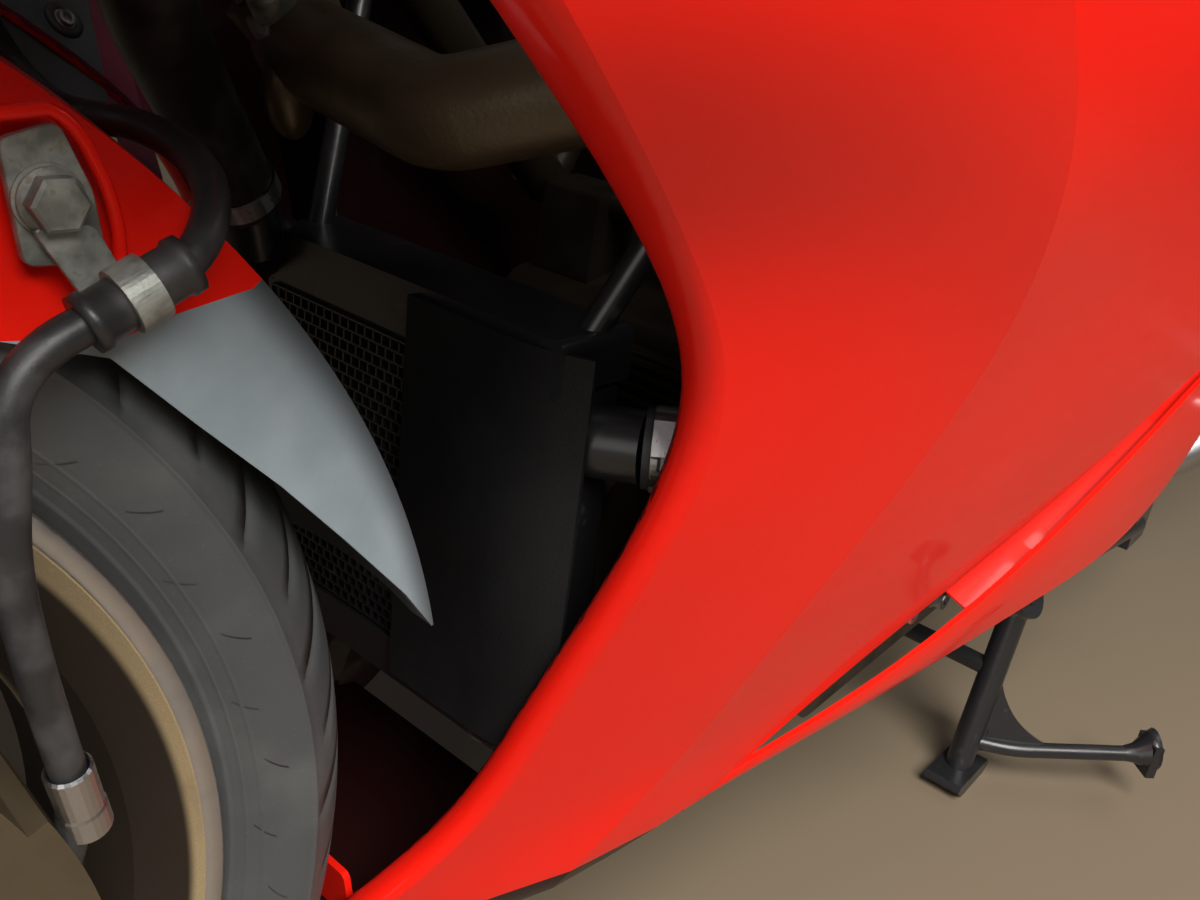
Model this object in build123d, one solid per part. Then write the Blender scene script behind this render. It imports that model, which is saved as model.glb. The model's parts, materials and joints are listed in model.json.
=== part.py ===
from build123d import *
from functools import cache
import math
import os

# Sport touring motorcycle with a full fairing, parked on its centre stand, bars turned slightly right.
# Millimetres. +X points forward, +Y to the rider's left, +Z up. The floor is z = 0, and the origin lies
# on it below the middle of the motorcycle's length.

# Driving dimensions: layout
overall_length = 2070
wheelbase = 1430
rake = 24
axle_offset = 28.8
fork_half_spacing = 105
parked_steer = -5.15
seat_height = 820
rear_lift = 15
seat_gap = 0.3
running_gap = 0.05
panel_wall = 3.5

# Driving dimensions: wheels
front_tyre_radius = 300
front_tyre_width = 120
rear_tyre_radius = 318
rear_tyre_width = 170
rim_flange_radius = 231
rim_seat_radius = 216
front_rim_inside = 46
rear_rim_inside = 70
rim_lip = 7
axle_radius = 12.45
front_hub_half = 58
rear_hub_half = 74
front_disc_radius = 160
rear_disc_radius = 122
disc_thickness = 4.5
chain_offset = 101
chain_width = 15
rear_sprocket_radius = 106
front_sprocket_radius = 38
sprocket_thickness = 7
chain_drive = (-150, 345)
chain_room = 6

# Driving dimensions: fork
fork_tube_radius = 27.5
fork_slider_radius = 21.5
lower_clamp_along = 466
upper_clamp_along = 682
lower_clamp_height = 32
upper_clamp_height = 22
fork_length = 724
fork_lug_half = 22
stem_radius = 17.5

# Driving dimensions: frame, swingarm and stands
frame_tube_radius = 14
brace_radius = 10
swing_pivot = (-205, 355)
swing_arm_inside = 112
swing_arm_width = 34
stand_pivot = (-190, 190)
stand_tube_radius = 11
stand_pivot_radius = 13
stand_half_width = 141
stand_foot_ahead = 44
side_stand_pivot = (-60, 160, 225)
side_stand_length = 236

# Places worked out from the sizes above
front_axle_x = overall_length / 2 - front_tyre_radius
front_axle_z = front_tyre_radius
rear_axle_x = front_axle_x - wheelbase
rear_axle_z = rear_tyre_radius + rear_lift
tail_end_x = -overall_length / 2 + 0.9
rake_cos = math.cos(math.radians(rake))
rake_sin = math.sin(math.radians(rake))
fork_up = Vector(-rake_sin, 0, rake_cos)
fork_forward = Vector(rake_cos, 0, rake_sin)
front_axle = Vector(front_axle_x, 0, front_axle_z)
rear_axle = Vector(rear_axle_x, 0, rear_axle_z)
FROM_BASE = (Align.CENTER, Align.CENTER, Align.MIN)


def fork_point(along, side=0, ahead=0):
    """A point by its distance up the fork from the axle, to the left, and ahead of the fork legs."""
    return front_axle + fork_up * along + fork_forward * ahead + Vector(0, side, 0)


steer_axis = Axis(tuple(fork_point(0, 0, -axle_offset)), tuple(fork_up))


def steered(shape):
    return shape.rotate(steer_axis, parked_steer)


def mirrored(shape):
    return shape.mirror(Plane.XZ)


def group(*shapes):
    return Compound([solid for shape in shapes for solid in shape.solids()])


def both_sides(shape):
    return group(shape, mirrored(shape))


def innermost(shape):
    """The solid of a cut shape that lies nearest the motorcycle's middle plane."""
    return Part([min(shape.solids(), key=lambda solid: abs(solid.center().Y))])


def largest(shape):
    """The main solid of a cut shape, without the ends that a cut leaves beyond a wall."""
    return Part([max(shape.solids(), key=lambda solid: solid.volume)])


def rod(start, end, radius):
    line = Vector(*end) - Vector(*start)
    return Plane(origin=Vector(*start), z_dir=line) * Cylinder(radius, line.length, align=FROM_BASE)


def bend_radii(points):
    """The largest arcs that fit a route's corners: each takes 0.45 of the shorter run beside it."""
    radii = []
    for before, corner, after in zip(points, points[1:], points[2:]):
        first = Vector(*corner) - Vector(*before)
        second = Vector(*after) - Vector(*corner)
        turn = math.radians(first.get_angle(second))
        radii.append(0.45 * min(first.length, second.length) / math.tan(turn / 2))
    return radii


def pipe(points, radius, bends=None, bore=0):
    """A round tube whose straight runs are joined by tangent arcs."""
    path = FilletPolyline(*points, radius=bends or bend_radii(points))
    section = Circle(radius)
    if bore:
        section = section - Circle(bore)
    return sweep(Plane(origin=path @ 0, z_dir=path % 0) * section, path)


def outline(points, corner=0):
    face = make_face(Polyline(*points, close=True))
    if corner:
        face = fillet(face.vertices(), corner)
    return face


def side_plate(sketch, y_low, thickness):
    """A plate whose outline is given in the side view, from y_low towards the left."""
    place = Plane(origin=(0, y_low, 0), x_dir=(1, 0, 0), z_dir=(0, -1, 0))
    return extrude(place * sketch, amount=thickness, dir=(0, 1, 0))


def cross_plate(sketch, x_low, thickness):
    """A plate whose outline is given as seen from the front, in y and z, from x_low forwards."""
    place = Plane(origin=(x_low, 0, 0), x_dir=(0, 1, 0), z_dir=(1, 0, 0))
    return extrude(place * sketch, amount=thickness, dir=(1, 0, 0))


def turned(profile, start=0, stop=360):
    """A face in radius and y turned about the Y axis, from one elevation angle to another."""
    shape = revolve(profile, axis=Axis.Y, revolution_arc=stop - start)
    return shape.rotate(Axis.Y, -stop)


def ring(inner, outer, y_low, y_high):
    return turned(outline([(inner, y_low), (outer, y_low), (outer, y_high), (inner, y_high)]))


def smooth(*edge_lists):
    return Part([Solid.make_loft([Wire(edges) for edges in edge_lists], ruled=False)])


def spot(centre, radius):
    return Pos(*centre) * Circle(radius)


# Wheels


def tyre(radius, width, rim_inside):
    """Round crown over bulged sidewalls that stand just inside the rim's flanges."""
    bead = rim_inside - seat_gap
    foot = rim_seat_radius + seat_gap
    shoulder = radius - width * 0.28
    half = width / 2
    sidewall = (rim_flange_radius + shoulder) / 2 - 3
    edges = [
        Line((foot, bead), (foot, -bead)),
        Line((foot, -bead), (rim_flange_radius, -bead)),
        ThreePointArc((rim_flange_radius, -bead), (sidewall, -half + 3.5), (shoulder, -half)),
        ThreePointArc((shoulder, -half), (radius, 0), (shoulder, half)),
        ThreePointArc((shoulder, half), (sidewall, half - 3.5), (rim_flange_radius, bead)),
        Line((rim_flange_radius, bead), (foot, bead)),
    ]
    return turned(make_face(edges))


def rim(inside, hub_half, hub_radius, spoke_depth):
    """Cast wheel: flanged barrel with a well, a bored hub and three spokes that widen at the barrel."""
    lip = inside + rim_lip
    half_profile = [
        (rim_flange_radius, lip),
        (rim_flange_radius, inside),
        (rim_seat_radius, inside),
        (rim_seat_radius - 3, inside - 14),
        (rim_seat_radius - 19, inside - 26),
        (rim_seat_radius - 26, inside - 24),
        (rim_seat_radius - 12, inside - 6),
        (rim_flange_radius - 7, lip),
    ]
    outer = half_profile[:5]
    inner = half_profile[5:]
    loop = outer + [(r, -y) for r, y in reversed(outer)] + [(r, -y) for r, y in reversed(inner)]
    loop = loop + inner
    barrel = turned(outline(loop))
    hub = ring(axle_radius + running_gap, hub_radius, -hub_half, hub_half)
    hub = hub - ring(hub_radius * 0.62, hub_radius + 1, hub_half - 5, hub_half + 1)
    # Spoke sections: distance out, half width, half depth
    stations = [
        (hub_radius - 12, 30, spoke_depth * 0.62),
        (hub_radius + 55, 20, spoke_depth * 0.40),
        (rim_seat_radius - 24, 36, spoke_depth * 0.46),
    ]
    spokes = []
    for place in range(3):
        wires = []
        for out, wide, deep in stations:
            corners = [(out, deep, -wide), (out, deep, wide), (out, -deep, wide), (out, -deep, -wide)]
            wires.append(Wire.make_polygon(corners, close=True))
        spoke = Part([Solid.make_loft(wires, ruled=False)])
        spokes.append(spoke.rotate(Axis.Y, 120 * place + 30))
    wheel = barrel + hub
    for spoke in spokes:
        wheel = wheel + spoke
    return wheel


def brake_disc(radius, carrier_inner, y_low, side):
    """Braking ring on a five-armed carrier. The carrier stands towards the hub."""
    band = radius - 34
    blade = ring(band, radius, y_low, y_low + disc_thickness)
    seat = y_low - 3.7 if side > 0 else y_low + disc_thickness - 1.3
    carrier = ring(carrier_inner, band + 8, seat, seat + 5)
    window = outline([(carrier_inner + 14, -13), (band - 6, -26), (band - 6, 26), (carrier_inner + 14, 13)], 5)
    for place in range(5):
        carrier = carrier - side_plate(Rot(0, 0, 72 * place) * window, seat - 1, 7)
    return blade + carrier


def front_rim():
    return steered(Pos(*front_axle) * rim(front_rim_inside, front_hub_half, 40, 44))


def front_tyre():
    return steered(Pos(*front_axle) * tyre(front_tyre_radius, front_tyre_width, front_rim_inside))


front_disc_y = front_hub_half + seat_gap + 3.7


def front_discs():
    disc = brake_disc(front_disc_radius, 20, front_disc_y, 1)
    return steered(Pos(*front_axle) * both_sides(disc))


def rear_rim():
    return Pos(*rear_axle) * rim(rear_rim_inside, rear_hub_half, 52, 54)


def rear_tyre():
    return Pos(*rear_axle) * tyre(rear_tyre_radius, rear_tyre_width, rear_rim_inside)


rear_disc_y = rear_hub_half + seat_gap + 3.7


def rear_disc():
    return Pos(*rear_axle) * mirrored(brake_disc(rear_disc_radius, 33, rear_disc_y, 1))


def rear_sprocket():
    """Toothless rim below the chain's rollers on a dished carrier that stands on the hub."""
    low = chain_offset - sprocket_thickness / 2
    plate = ring(44, rear_sprocket_radius - 6, low, low + sprocket_thickness)
    for place in range(6):
        middle = (72 * math.cos(math.radians(60 * place)), 72 * math.sin(math.radians(60 * place)))
        plate = plate - side_plate(spot(middle, 13), low - 1, sprocket_thickness + 2)
    carrier = ring(28, 56, rear_hub_half + seat_gap, low)
    return Pos(*rear_axle) * (plate + carrier)


def chain_loop(grow):
    """Side-view outline around both sprockets, at a distance outside their pitch circles."""
    circles = [
        (Pos(*chain_drive) * Circle(front_sprocket_radius + grow)).edge(),
        (Pos(rear_axle_x, rear_axle_z) * Circle(rear_sprocket_radius + grow)).edge(),
    ]
    return make_hull(circles)


def chain():
    """One fixed loop around both sprockets: two rows of side plates joined by the rollers' band."""
    row = chain_loop(6.5) - chain_loop(-5.5)
    band = chain_loop(1.5) - chain_loop(-2.5)
    low = chain_offset - chain_width / 2
    left_row = side_plate(row, low + chain_width - 3.2, 3.2)
    right_row = side_plate(row, low, 3.2)
    return side_plate(band, low, chain_width) + left_row + right_row


# Front end, built straight ahead and turned as parked


def front_axle_bolt():
    """Spindle through both fork lugs, with the two spacers beside the hub."""
    reach = fork_half_spacing + fork_lug_half + 5
    bolt = ring(0, axle_radius, -reach, reach)
    spacer = ring(0, 17, front_hub_half + seat_gap, fork_half_spacing - fork_lug_half)
    head = ring(0, 18, fork_half_spacing + fork_lug_half, reach)
    shape = bolt + spacer + mirrored(spacer) + head + mirrored(head)
    return steered(Pos(*front_axle) * shape)


def fork_leg():
    """Upside-down leg: wide tube above, slim tube below, axle lug and the caliper's arm behind it."""
    side = fork_half_spacing
    lug = rod(front_axle + Vector(0, side - fork_lug_half, 0), front_axle + Vector(0, side + fork_lug_half, 0), 27)
    slider = rod(fork_point(8, side), fork_point(262, side), fork_slider_radius)
    tube = rod(fork_point(240, side), fork_point(fork_length, side), fork_tube_radius)
    collar = rod(fork_point(240, side), fork_point(264, side), fork_tube_radius + 3)
    cap = rod(fork_point(fork_length, side), fork_point(fork_length + 9, side), 18)
    arm = outline([(20, 22), (20, -24), (-70, -8), (-104, 6), (-110, 62), (-78, 74), (-34, 52)], 8)
    arm = Pos(*front_axle) * side_plate(arm, side - 12, 13)
    bore = ring(0, axle_radius, side - 30, side + 30)
    return lug + slider + tube + collar + cap + arm - Pos(*front_axle) * bore


def clamp_plan(height, waist):
    legs = spot((0, fork_half_spacing), 38) + spot((0, -fork_half_spacing), 38) + spot((-axle_offset, 0), 36)
    edge = fork_half_spacing
    web = outline([(26, edge), (-22, edge), (-60, 30), (-60, -30), (-22, -edge), (26, -edge), (waist, 0)])
    return extrude(legs + web, amount=height)


def fork_clamps():
    """Lower and upper clamp with the steering stem between them."""
    shape = None
    for along, height in ((lower_clamp_along, lower_clamp_height), (upper_clamp_along, upper_clamp_height)):
        place = Plane(origin=fork_point(along), x_dir=fork_forward, z_dir=fork_up)
        plate = place * clamp_plan(height, 4)
        shape = plate if shape is None else shape + plate
    bottom = fork_point(lower_clamp_along, 0, -axle_offset)
    top = fork_point(upper_clamp_along + upper_clamp_height + 8, 0, -axle_offset)
    shape = shape + rod(bottom, top, stem_radius)
    for side in (-fork_half_spacing, fork_half_spacing):
        shape = shape - rod(fork_point(lower_clamp_along - 5, side), fork_point(fork_length, side), fork_tube_radius)
    return steered(shape)


grip_inner = Vector(416, 182, 982)
grip_outer = Vector(346, 345, 962)
bar_root = fork_point(fork_length + 23, fork_half_spacing - 18)


@cache
def bar_tube():
    return pipe([tuple(bar_root), tuple(grip_inner), tuple(grip_outer)], 11, 60)


def handlebars():
    """Raised clip-on bars: a riser on each leg's top and a tube that reaches out and back."""
    base = fork_point(upper_clamp_along + upper_clamp_height, fork_half_spacing)
    riser = rod(base, fork_point(fork_length + 36, fork_half_spacing), 24)
    riser = riser - rod(fork_point(600, fork_half_spacing), fork_point(fork_length, fork_half_spacing), fork_tube_radius)
    riser = riser - rod(fork_point(600, fork_half_spacing), fork_point(fork_length + 9, fork_half_spacing), 18)
    return steered(both_sides(riser + bar_tube()))


def grips():
    start = grip_inner + (grip_outer - grip_inner) * 0.28
    sleeve = rod(start, grip_outer, 16.5)
    flange = rod(start, start + (grip_outer - grip_inner) * 0.03, 22)
    weight = rod(grip_outer, grip_outer + (grip_outer - grip_inner) * 0.06, 14)
    shape = sleeve + flange - rod(grip_inner, grip_outer, 11) + weight
    return steered(both_sides(shape))


def levers():
    """Brake and clutch levers with their master cylinders and reservoirs."""
    along = (grip_outer - grip_inner).normalized()
    ahead = Vector(0.93, 0.36, -0.08).normalized()
    perch = grip_inner + along * 18
    body = rod(perch - along * 13, perch + along * 13, 18)
    cylinder = rod(perch + ahead * 26 - along * 30, perch + ahead * 26 + along * 18, 13)
    pivot = perch + ahead * 38 + along * 16
    lever = pipe([pivot, pivot + along * 40 + ahead * 2, grip_outer + ahead * 40], 6, 50)
    cup = rod(perch + ahead * 26 - along * 8 + Vector(0, 0, 8), perch + ahead * 26 - along * 8 + Vector(0, 0, 48), 18)
    bracket = rod(perch, perch + ahead * 30, 12)
    shape = body + cylinder + bracket + lever + cup - bar_tube()
    return steered(both_sides(shape))


mudguard_radius = 329
mudguard_knee = 6
mudguard_half = 70
mudguard_wall = 3
mudguard_front = 34
extension_start = 129
extension_end = 169
# Side-view lines of the mudguard about the axle: elevation angle, radius
mudguard_joint = [(130.5, 265), (133.3, 274), (135.9, 283), (137.6, 298), (140.1, 319), (141, 387)]
mudguard_skirt = [(30, 306), (50, 292), (75, 276), (95, 264), (120, 261)]
extension_skirt = [(136.1, 277), (143, 279), (150.8, 287), (157.6, 297), (165, 313), (169, 322)]


def mudguard_section(grow=0):
    """Crown over two flared skirts, as radius and y."""
    wall = mudguard_wall
    skirt = 258
    edge = mudguard_half + grow
    crown = mudguard_radius + grow
    knee = (mudguard_radius - mudguard_knee + grow, edge - 9)
    knee_inner = (knee[0] - wall, knee[1] - wall)
    edges = [
        Line((skirt, -edge), (knee[0], -knee[1])),
        ThreePointArc((knee[0], -knee[1]), (crown, 0), knee),
        Line(knee, (skirt, edge)),
        Line((skirt, edge), (skirt, edge - wall)),
        Line((skirt, edge - wall), knee_inner),
        ThreePointArc(knee_inner, (crown - wall, 0), (knee_inner[0], -knee_inner[1])),
        Line((knee_inner[0], -knee_inner[1]), (skirt, wall - edge)),
        Line((skirt, wall - edge), (skirt, -edge)),
    ]
    return make_face(edges)


def polar(angle, radius):
    return (radius * math.cos(math.radians(angle)), radius * math.sin(math.radians(angle)))


def polar_region(lines):
    """Side-view region inside a closed line that is given as elevation angle and radius."""
    return side_plate(outline([polar(angle, radius) for angle, radius in lines]), -120, 240)


def mudguard():
    outer = [(angle, 387) for angle in (120, 95, 75, 50, 30)]
    region = polar_region(mudguard_skirt + mudguard_joint + outer)
    shell = Pos(*front_axle) * (turned(mudguard_section(), mudguard_front, 142) & region)
    lug = rod(fork_point(285, 60), fork_point(285, fork_half_spacing), 13)
    lug = lug - rod(fork_point(200, fork_half_spacing), fork_point(400, fork_half_spacing), fork_tube_radius)
    return steered(shell + lug + mirrored(lug))


def mudguard_extension():
    """Plain plastic tail of the mudguard behind a slanted joint, with skirts that taper towards its end."""
    outer = [(angle, 387) for angle in (169, 155)]
    region = polar_region(mudguard_joint[:1] + extension_skirt + outer + mudguard_joint[:0:-1])
    return steered(Pos(*front_axle) * (turned(mudguard_section(), extension_start, extension_end) & region))


@cache
def front_caliper():
    """Pinched over the disc's rear edge, bolted to the arm on the fork lug. Left one."""
    gap_low = front_disc_y - 1.5
    gap_high = front_disc_y + disc_thickness + 1.5
    outer_half = outline([(100, gap_high), (172, gap_high), (172, 92.7), (100, 92.7)])
    inner_half = outline([(138, 46), (172, 46), (172, gap_low), (138, gap_low)])
    bridge = outline([(front_disc_radius + 3, 46), (178, 46), (178, 92.7), (front_disc_radius + 3, 92.7)])
    body = turned(outer_half, 150, 186) + turned(inner_half, 150, 186) + turned(bridge, 156, 180)
    return Pos(*front_axle) * body


brake_hose_radius = 5
hose_sleeve_radius = 7
# Left brake hose: under the lower clamp, down the mudguard's hidden side, over its crown, through the clip
left_brake_hose = [
    tuple(fork_point(lower_clamp_along - seat_gap, -8, -40)),
    tuple(fork_point(446, -8, -40)),
    (535, -16, 655),
    (533, -42, 618),
    (523, -63, 584),
    (511, -68, 557),
    (503, -56, 543),
    (502, -36, 541.5),
    (502.5, -8, 543),
    (503, 16, 545.3),
    (503.6, 38, 544.8),
    (504, 54, 542.4),
    (505.5, 67, 538.5),
    (509.5, 77, 533.5),
    (516, 86, 528),
    (523, 90, 522.5),
    (528, 90, 520),
    (547, 90, 511),
    (561, 92, 506),
    (571, 94, 496),
    (572, 96, 479),
    (575, 96, 456),
    (573, 96, 430),
    (567, 92, 394),
    (562, 89, 368),
    (570, 86, 345),
]
# Right one, as it would lie on the left
right_brake_hose = [
    tuple(fork_point(lower_clamp_along - seat_gap, 34, -40)),
    tuple(fork_point(430, 34, -40)),
    (554, 58, 610),
    (568, 86, 556),
    (577, 95, 505),
    (583, 96, 465),
    (580, 96, 430),
    (568, 92, 394),
    (562, 89, 368),
    (570, 86, 345),
]
# The clip and the rubber sleeve in it lie on the hose's straight run between two of those points
hose_clip = ((532.5, 90, 517.9), (540.7, 90, 514))
hose_sleeve = ((529, 90, 519.5), (544.2, 90, 512.3))


def front_calipers():
    return steered(both_sides(front_caliper()))


hose_bolt = (550, 537)


def hose_bracket():
    """Steel plate on the mudguard's left side, its hexagon bolt, and the clip that holds the hoses."""
    plate = side_plate(outline([(560, 551), (546, 555), (539, 538), (537, 520), (557, 521)], 3), 72, 3)
    x, z = hose_bolt
    bolt = rod((x, 75, z), (x, 76.5, z), 9) + side_plate(Pos(x, z) * RegularPolygon(7, 6), 75, 8)
    shank = rod((x, 58, z), (x, 75, z), 5)
    clip = rod(*hose_clip, hose_sleeve_radius + 2)
    tab = side_plate(outline([(540, 530), (555, 530), (545, 508), (530, 513)], 3), 75, 7.5)
    shape = plate + bolt + tab + clip - rod(*hose_clip, hose_sleeve_radius + running_gap)
    return steered(shape + (shank - Pos(*front_axle) * turned(mudguard_section(), 90, 142)))


def brake_hoses():
    """Both hoses from the union below the lower clamp, the left one through its clip, to the calipers."""
    left = pipe(left_brake_hose, brake_hose_radius) + rod(*hose_sleeve, hose_sleeve_radius)
    hoses = group(left, mirrored(pipe(right_brake_hose, brake_hose_radius)))
    calipers = both_sides(front_caliper())
    return steered(group(*[Part([hose]) - calipers for hose in hoses.solids()]))


# Frame and engine

# Trellis joints on the left side: x, y, z
joints = {
    "head_top": (448, 30, 880),
    "head_low": (497, 30, 770),
    "shoulder": (215, 122, 770),
    "front_low": (300, 124, 610),
    "middle": (70, 126, 625),
    "engine_front": (150, 128, 470),
    "rear_high": (-90, 126, 700),
    "rear_low": (-130, 126, 470),
    "pivot": (-205, 126, 395),
    "seat_low": (-400, 112, 700),
    "seat_mid": (-420, 108, 755),
    "tail": (-800, 88, 800),
}
# Trellis tubes: from, to, radius
tubes = [
    ("head_top", "shoulder", frame_tube_radius),
    ("head_low", "front_low", frame_tube_radius),
    ("shoulder", "rear_high", frame_tube_radius),
    ("front_low", "engine_front", frame_tube_radius),
    ("head_low", "shoulder", brace_radius),
    ("shoulder", "front_low", brace_radius),
    ("front_low", "middle", brace_radius),
    ("shoulder", "middle", brace_radius),
    ("middle", "engine_front", brace_radius),
    ("middle", "rear_high", brace_radius),
    ("middle", "rear_low", frame_tube_radius),
    ("rear_high", "rear_low", frame_tube_radius),
    ("rear_low", "pivot", frame_tube_radius),
    ("rear_high", "seat_mid", brace_radius),
    ("rear_low", "seat_low", brace_radius),
    ("seat_low", "seat_mid", brace_radius),
    ("seat_mid", "tail", brace_radius),
]
head_low = fork_point(lower_clamp_along + lower_clamp_height + 1, 0, -axle_offset)
head_top = fork_point(upper_clamp_along - 1, 0, -axle_offset)


@cache
def frame_side():
    shape = None
    for start, end, radius in tubes:
        tube = rod(joints[start], joints[end], radius)
        shape = tube if shape is None else shape + tube
    for name in ("shoulder", "front_low", "middle", "rear_high", "rear_low", "pivot"):
        shape = shape + Pos(*joints[name]) * Sphere(frame_tube_radius + 1)
    shape = shape - rod(head_low, head_top, 30)
    x, y, z = joints["middle"]
    shape = shape + rod((x, y, z), (x, 260, z + 5), 8)
    x, y, z = joints["rear_low"]
    shape = shape + rod((x, y, z), (x - 10, 260, z), 8)
    return shape


@cache
def frame_left():
    return largest(frame_side() - fairing_panel() - swing_boss())


def frame_right():
    return mirrored(frame_left())


@cache
def swing_boss():
    return rod((swing_pivot[0], 100, swing_pivot[1]), (swing_pivot[0], 160, swing_pivot[1]), 34)


def frame_head():
    """Steering head tube, the cross tubes between the two sides, and the stay for the nose."""
    tube = rod(head_low, head_top, 30)
    shape = tube
    for name, radius in (("shoulder", 12), ("rear_high", 12), ("seat_low", 9), ("tail", 9)):
        x, y, z = joints[name]
        shape = shape + rod((x, -y, z), (x, y, z), radius)
    stay = rod(fork_point(600, 0, -axle_offset), (704, 0, 802), 12)
    shape = shape + stay - rod(head_low - fork_up * 5, head_top + fork_up * 5, stem_radius + running_gap)
    sides = frame_side()
    return shape - sides - mirrored(sides)


@cache
def engine():
    """Crankcase with a near-level front cylinder, an upright rear cylinder and both side covers."""
    case = outline([(-118, 205), (150, 200), (196, 250), (190, 420), (90, 442), (-70, 436), (-118, 380)], 18)
    shape = side_plate(case, -122, 244)
    ear = outline([(-90, 300), (-90, 420), (-190, 392), (-235, 372), (-238, 338), (-200, 322)], 12)
    ears = side_plate(ear, 62, 25)
    shape = shape + ears + mirrored(ears)
    front = outline([(180, 262), (322, 250), (334, 398), (184, 410)], 14)
    shape = shape + side_plate(front, -86, 172)
    rear = outline([(-84, 420), (76, 426), (66, 668), (-72, 662)], 14)
    shape = shape + side_plate(rear, -86, 172)
    for place in range(5):
        x = 200 + 14 * place
        shape = shape + side_plate(outline([(x, 254), (x + 5, 254), (x + 9, 410), (x + 4, 410)]), -95, 190)
        z = 452 + 16 * place
        shape = shape + side_plate(outline([(-92, z), (84, z), (84, z + 5), (-92, z + 5)]), -95, 190)
    shape = shape + rod((60, 110, 325), (60, 146, 325), 74)
    shape = shape + rod((40, -110, 318), (40, -148, 318), 80)
    shape = shape + rod((-20, -110, 400), (-20, -150, 400), 40)
    sump = outline([(-80, 206), (130, 204), (110, 180), (-60, 180)])
    sump = side_plate(sump, 10, 90)
    shape = shape + sump
    bolt = rod(joints["engine_front"], (150, -joints["engine_front"][1], 470), 9)
    lug = side_plate(outline([(130, 420), (172, 420), (168, 480), (134, 480)], 6), 70, 44)
    shape = shape + lug + mirrored(lug) + bolt
    x, y, z = joints["rear_low"]
    back_lug = side_plate(outline([(-60, 400), (-60, 470), (-144, 486), (-144, 452)], 6), 60, 52)
    shape = shape + back_lug + mirrored(back_lug) + rod((x, -y, z), (x, y, z), 9)
    return shape


def engine_cut():
    """The engine with the places of the frame tubes and the swingarm's shaft, and room for the chain."""
    sides = frame_side()
    room = side_plate(chain_loop(6.5 + chain_room), chain_offset - chain_width / 2 - chain_room, 50)
    return engine() - sides - mirrored(sides) - swingarm_shaft() - room


def swingarm_shaft():
    return rod((swing_pivot[0], -165, swing_pivot[1]), (swing_pivot[0], 165, swing_pivot[1]), 12)


def swingarm():
    """Two box arms, the cross tube in front of the tyre, the pivot shaft and the axle plates."""
    arm = outline(
        [
            (swing_pivot[0] + 26, swing_pivot[1] - 24),
            (swing_pivot[0] + 26, swing_pivot[1] + 24),
            (swing_pivot[0] - 120, swing_pivot[1] + 26),
            (rear_axle_x + 60, rear_axle_z + 24),
            (rear_axle_x - 42, rear_axle_z + 22),
            (rear_axle_x - 42, rear_axle_z - 22),
            (rear_axle_x + 60, rear_axle_z - 24),
            (swing_pivot[0] - 120, swing_pivot[1] - 32),
        ],
        8,
    )
    arms = side_plate(arm, swing_arm_inside, swing_arm_width)
    shape = arms + mirrored(arms)
    cross = swing_pivot[0] - 92
    shape = shape + rod((cross, -swing_arm_inside - 4, swing_pivot[1]), (cross, swing_arm_inside + 4, swing_pivot[1]), 27)
    shape = shape + swingarm_shaft()
    reach = swing_arm_inside + swing_arm_width + 6
    return shape - Pos(*rear_axle) * ring(0, axle_radius, -reach, reach)


def rear_axle_bolt():
    """Spindle through both arms, with a spacer beside each end of the hub."""
    reach = swing_arm_inside + swing_arm_width + 14
    shape = ring(0, axle_radius, -reach, reach)
    for side in (1, -1):
        spacer = ring(0, 19, rear_hub_half + seat_gap, swing_arm_inside)
        head = ring(0, 20, swing_arm_inside + swing_arm_width, reach)
        shape = shape + (spacer if side > 0 else mirrored(spacer))
        shape = shape + (head if side > 0 else mirrored(head))
    return Pos(*rear_axle) * shape


def shock():
    """Damper body inside its coil spring, from the frame's cross tube to the swingarm's."""
    x, _, z = joints["rear_high"]
    top = Vector(x - 60, 0, z - 70)
    foot = Vector(swing_pivot[0] - 92, 0, swing_pivot[1] + 27)
    line = (top - foot).normalized()
    shape = rod(foot + line * 2, top, 19.6)
    shape = shape + rod(foot + line * 40, foot + line * 52, 31) + rod(top - line * 42, top - line * 30, 31)
    spring_low = foot + line * 52
    length = (top - line * 42 - spring_low).length
    for turn in range(7):
        low = spring_low + line * (length * (turn + 0.25) / 7)
        shape = shape + rod(low, low + line * 9, 28)
    eye = rod((foot.X, -14, foot.Z + 4), (foot.X, 14, foot.Z + 4), 15)
    cross = swing_pivot[0] - 92
    tube = rod((cross, -40, swing_pivot[1]), (cross, 40, swing_pivot[1]), 27)
    hanger = rod((top.X, 0, top.Z), joints["rear_high"][:1] + (0,) + joints["rear_high"][2:], 13)
    bar = rod((x, -60, z), (x, 60, z), 12)
    return shape + eye + hanger - tube - bar


def rear_caliper():
    gap_low = rear_disc_y - 1.5
    gap_high = rear_disc_y + disc_thickness + 1.5
    body = outline([(88, gap_high), (134, gap_high), (134, 110), (88, 110)])
    inner = outline([(98, 62), (134, 62), (134, gap_low), (98, gap_low)])
    bridge = outline([(rear_disc_radius + 3, 62), (138, 62), (138, 110), (rear_disc_radius + 3, 110)])
    shape = turned(body, 60, 96) + turned(inner, 60, 96) + turned(bridge, 66, 90)
    arm = side_plate(outline([(-22, -18), (22, -18), (60, 92), (-14, 108)], 6), 98, 13.7)
    arm = arm - ring(0, 19, 90, 120)
    return Pos(*rear_axle) * mirrored(shape + arm)


# Radiator, hoses and exhaust

radiator_x = 345
radiator_depth = 32
radiator_low = 300
radiator_high = 452
radiator_right = -96
radiator_left = 96


# Routes of the two hoses, from the radiator
upper_hose = [
    (393, -90, radiator_high + 36),
    (409, -83, 511),
    (438, -63, 547),
    (470, -31, 577),
    (482, -14, 621),
    (448, -4, 664),
]
lower_hose = [(349, 116, 433.5), (335, 137, 435), (250, 150, 412), (170, 146, 374), (128, 140, 348)]


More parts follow.
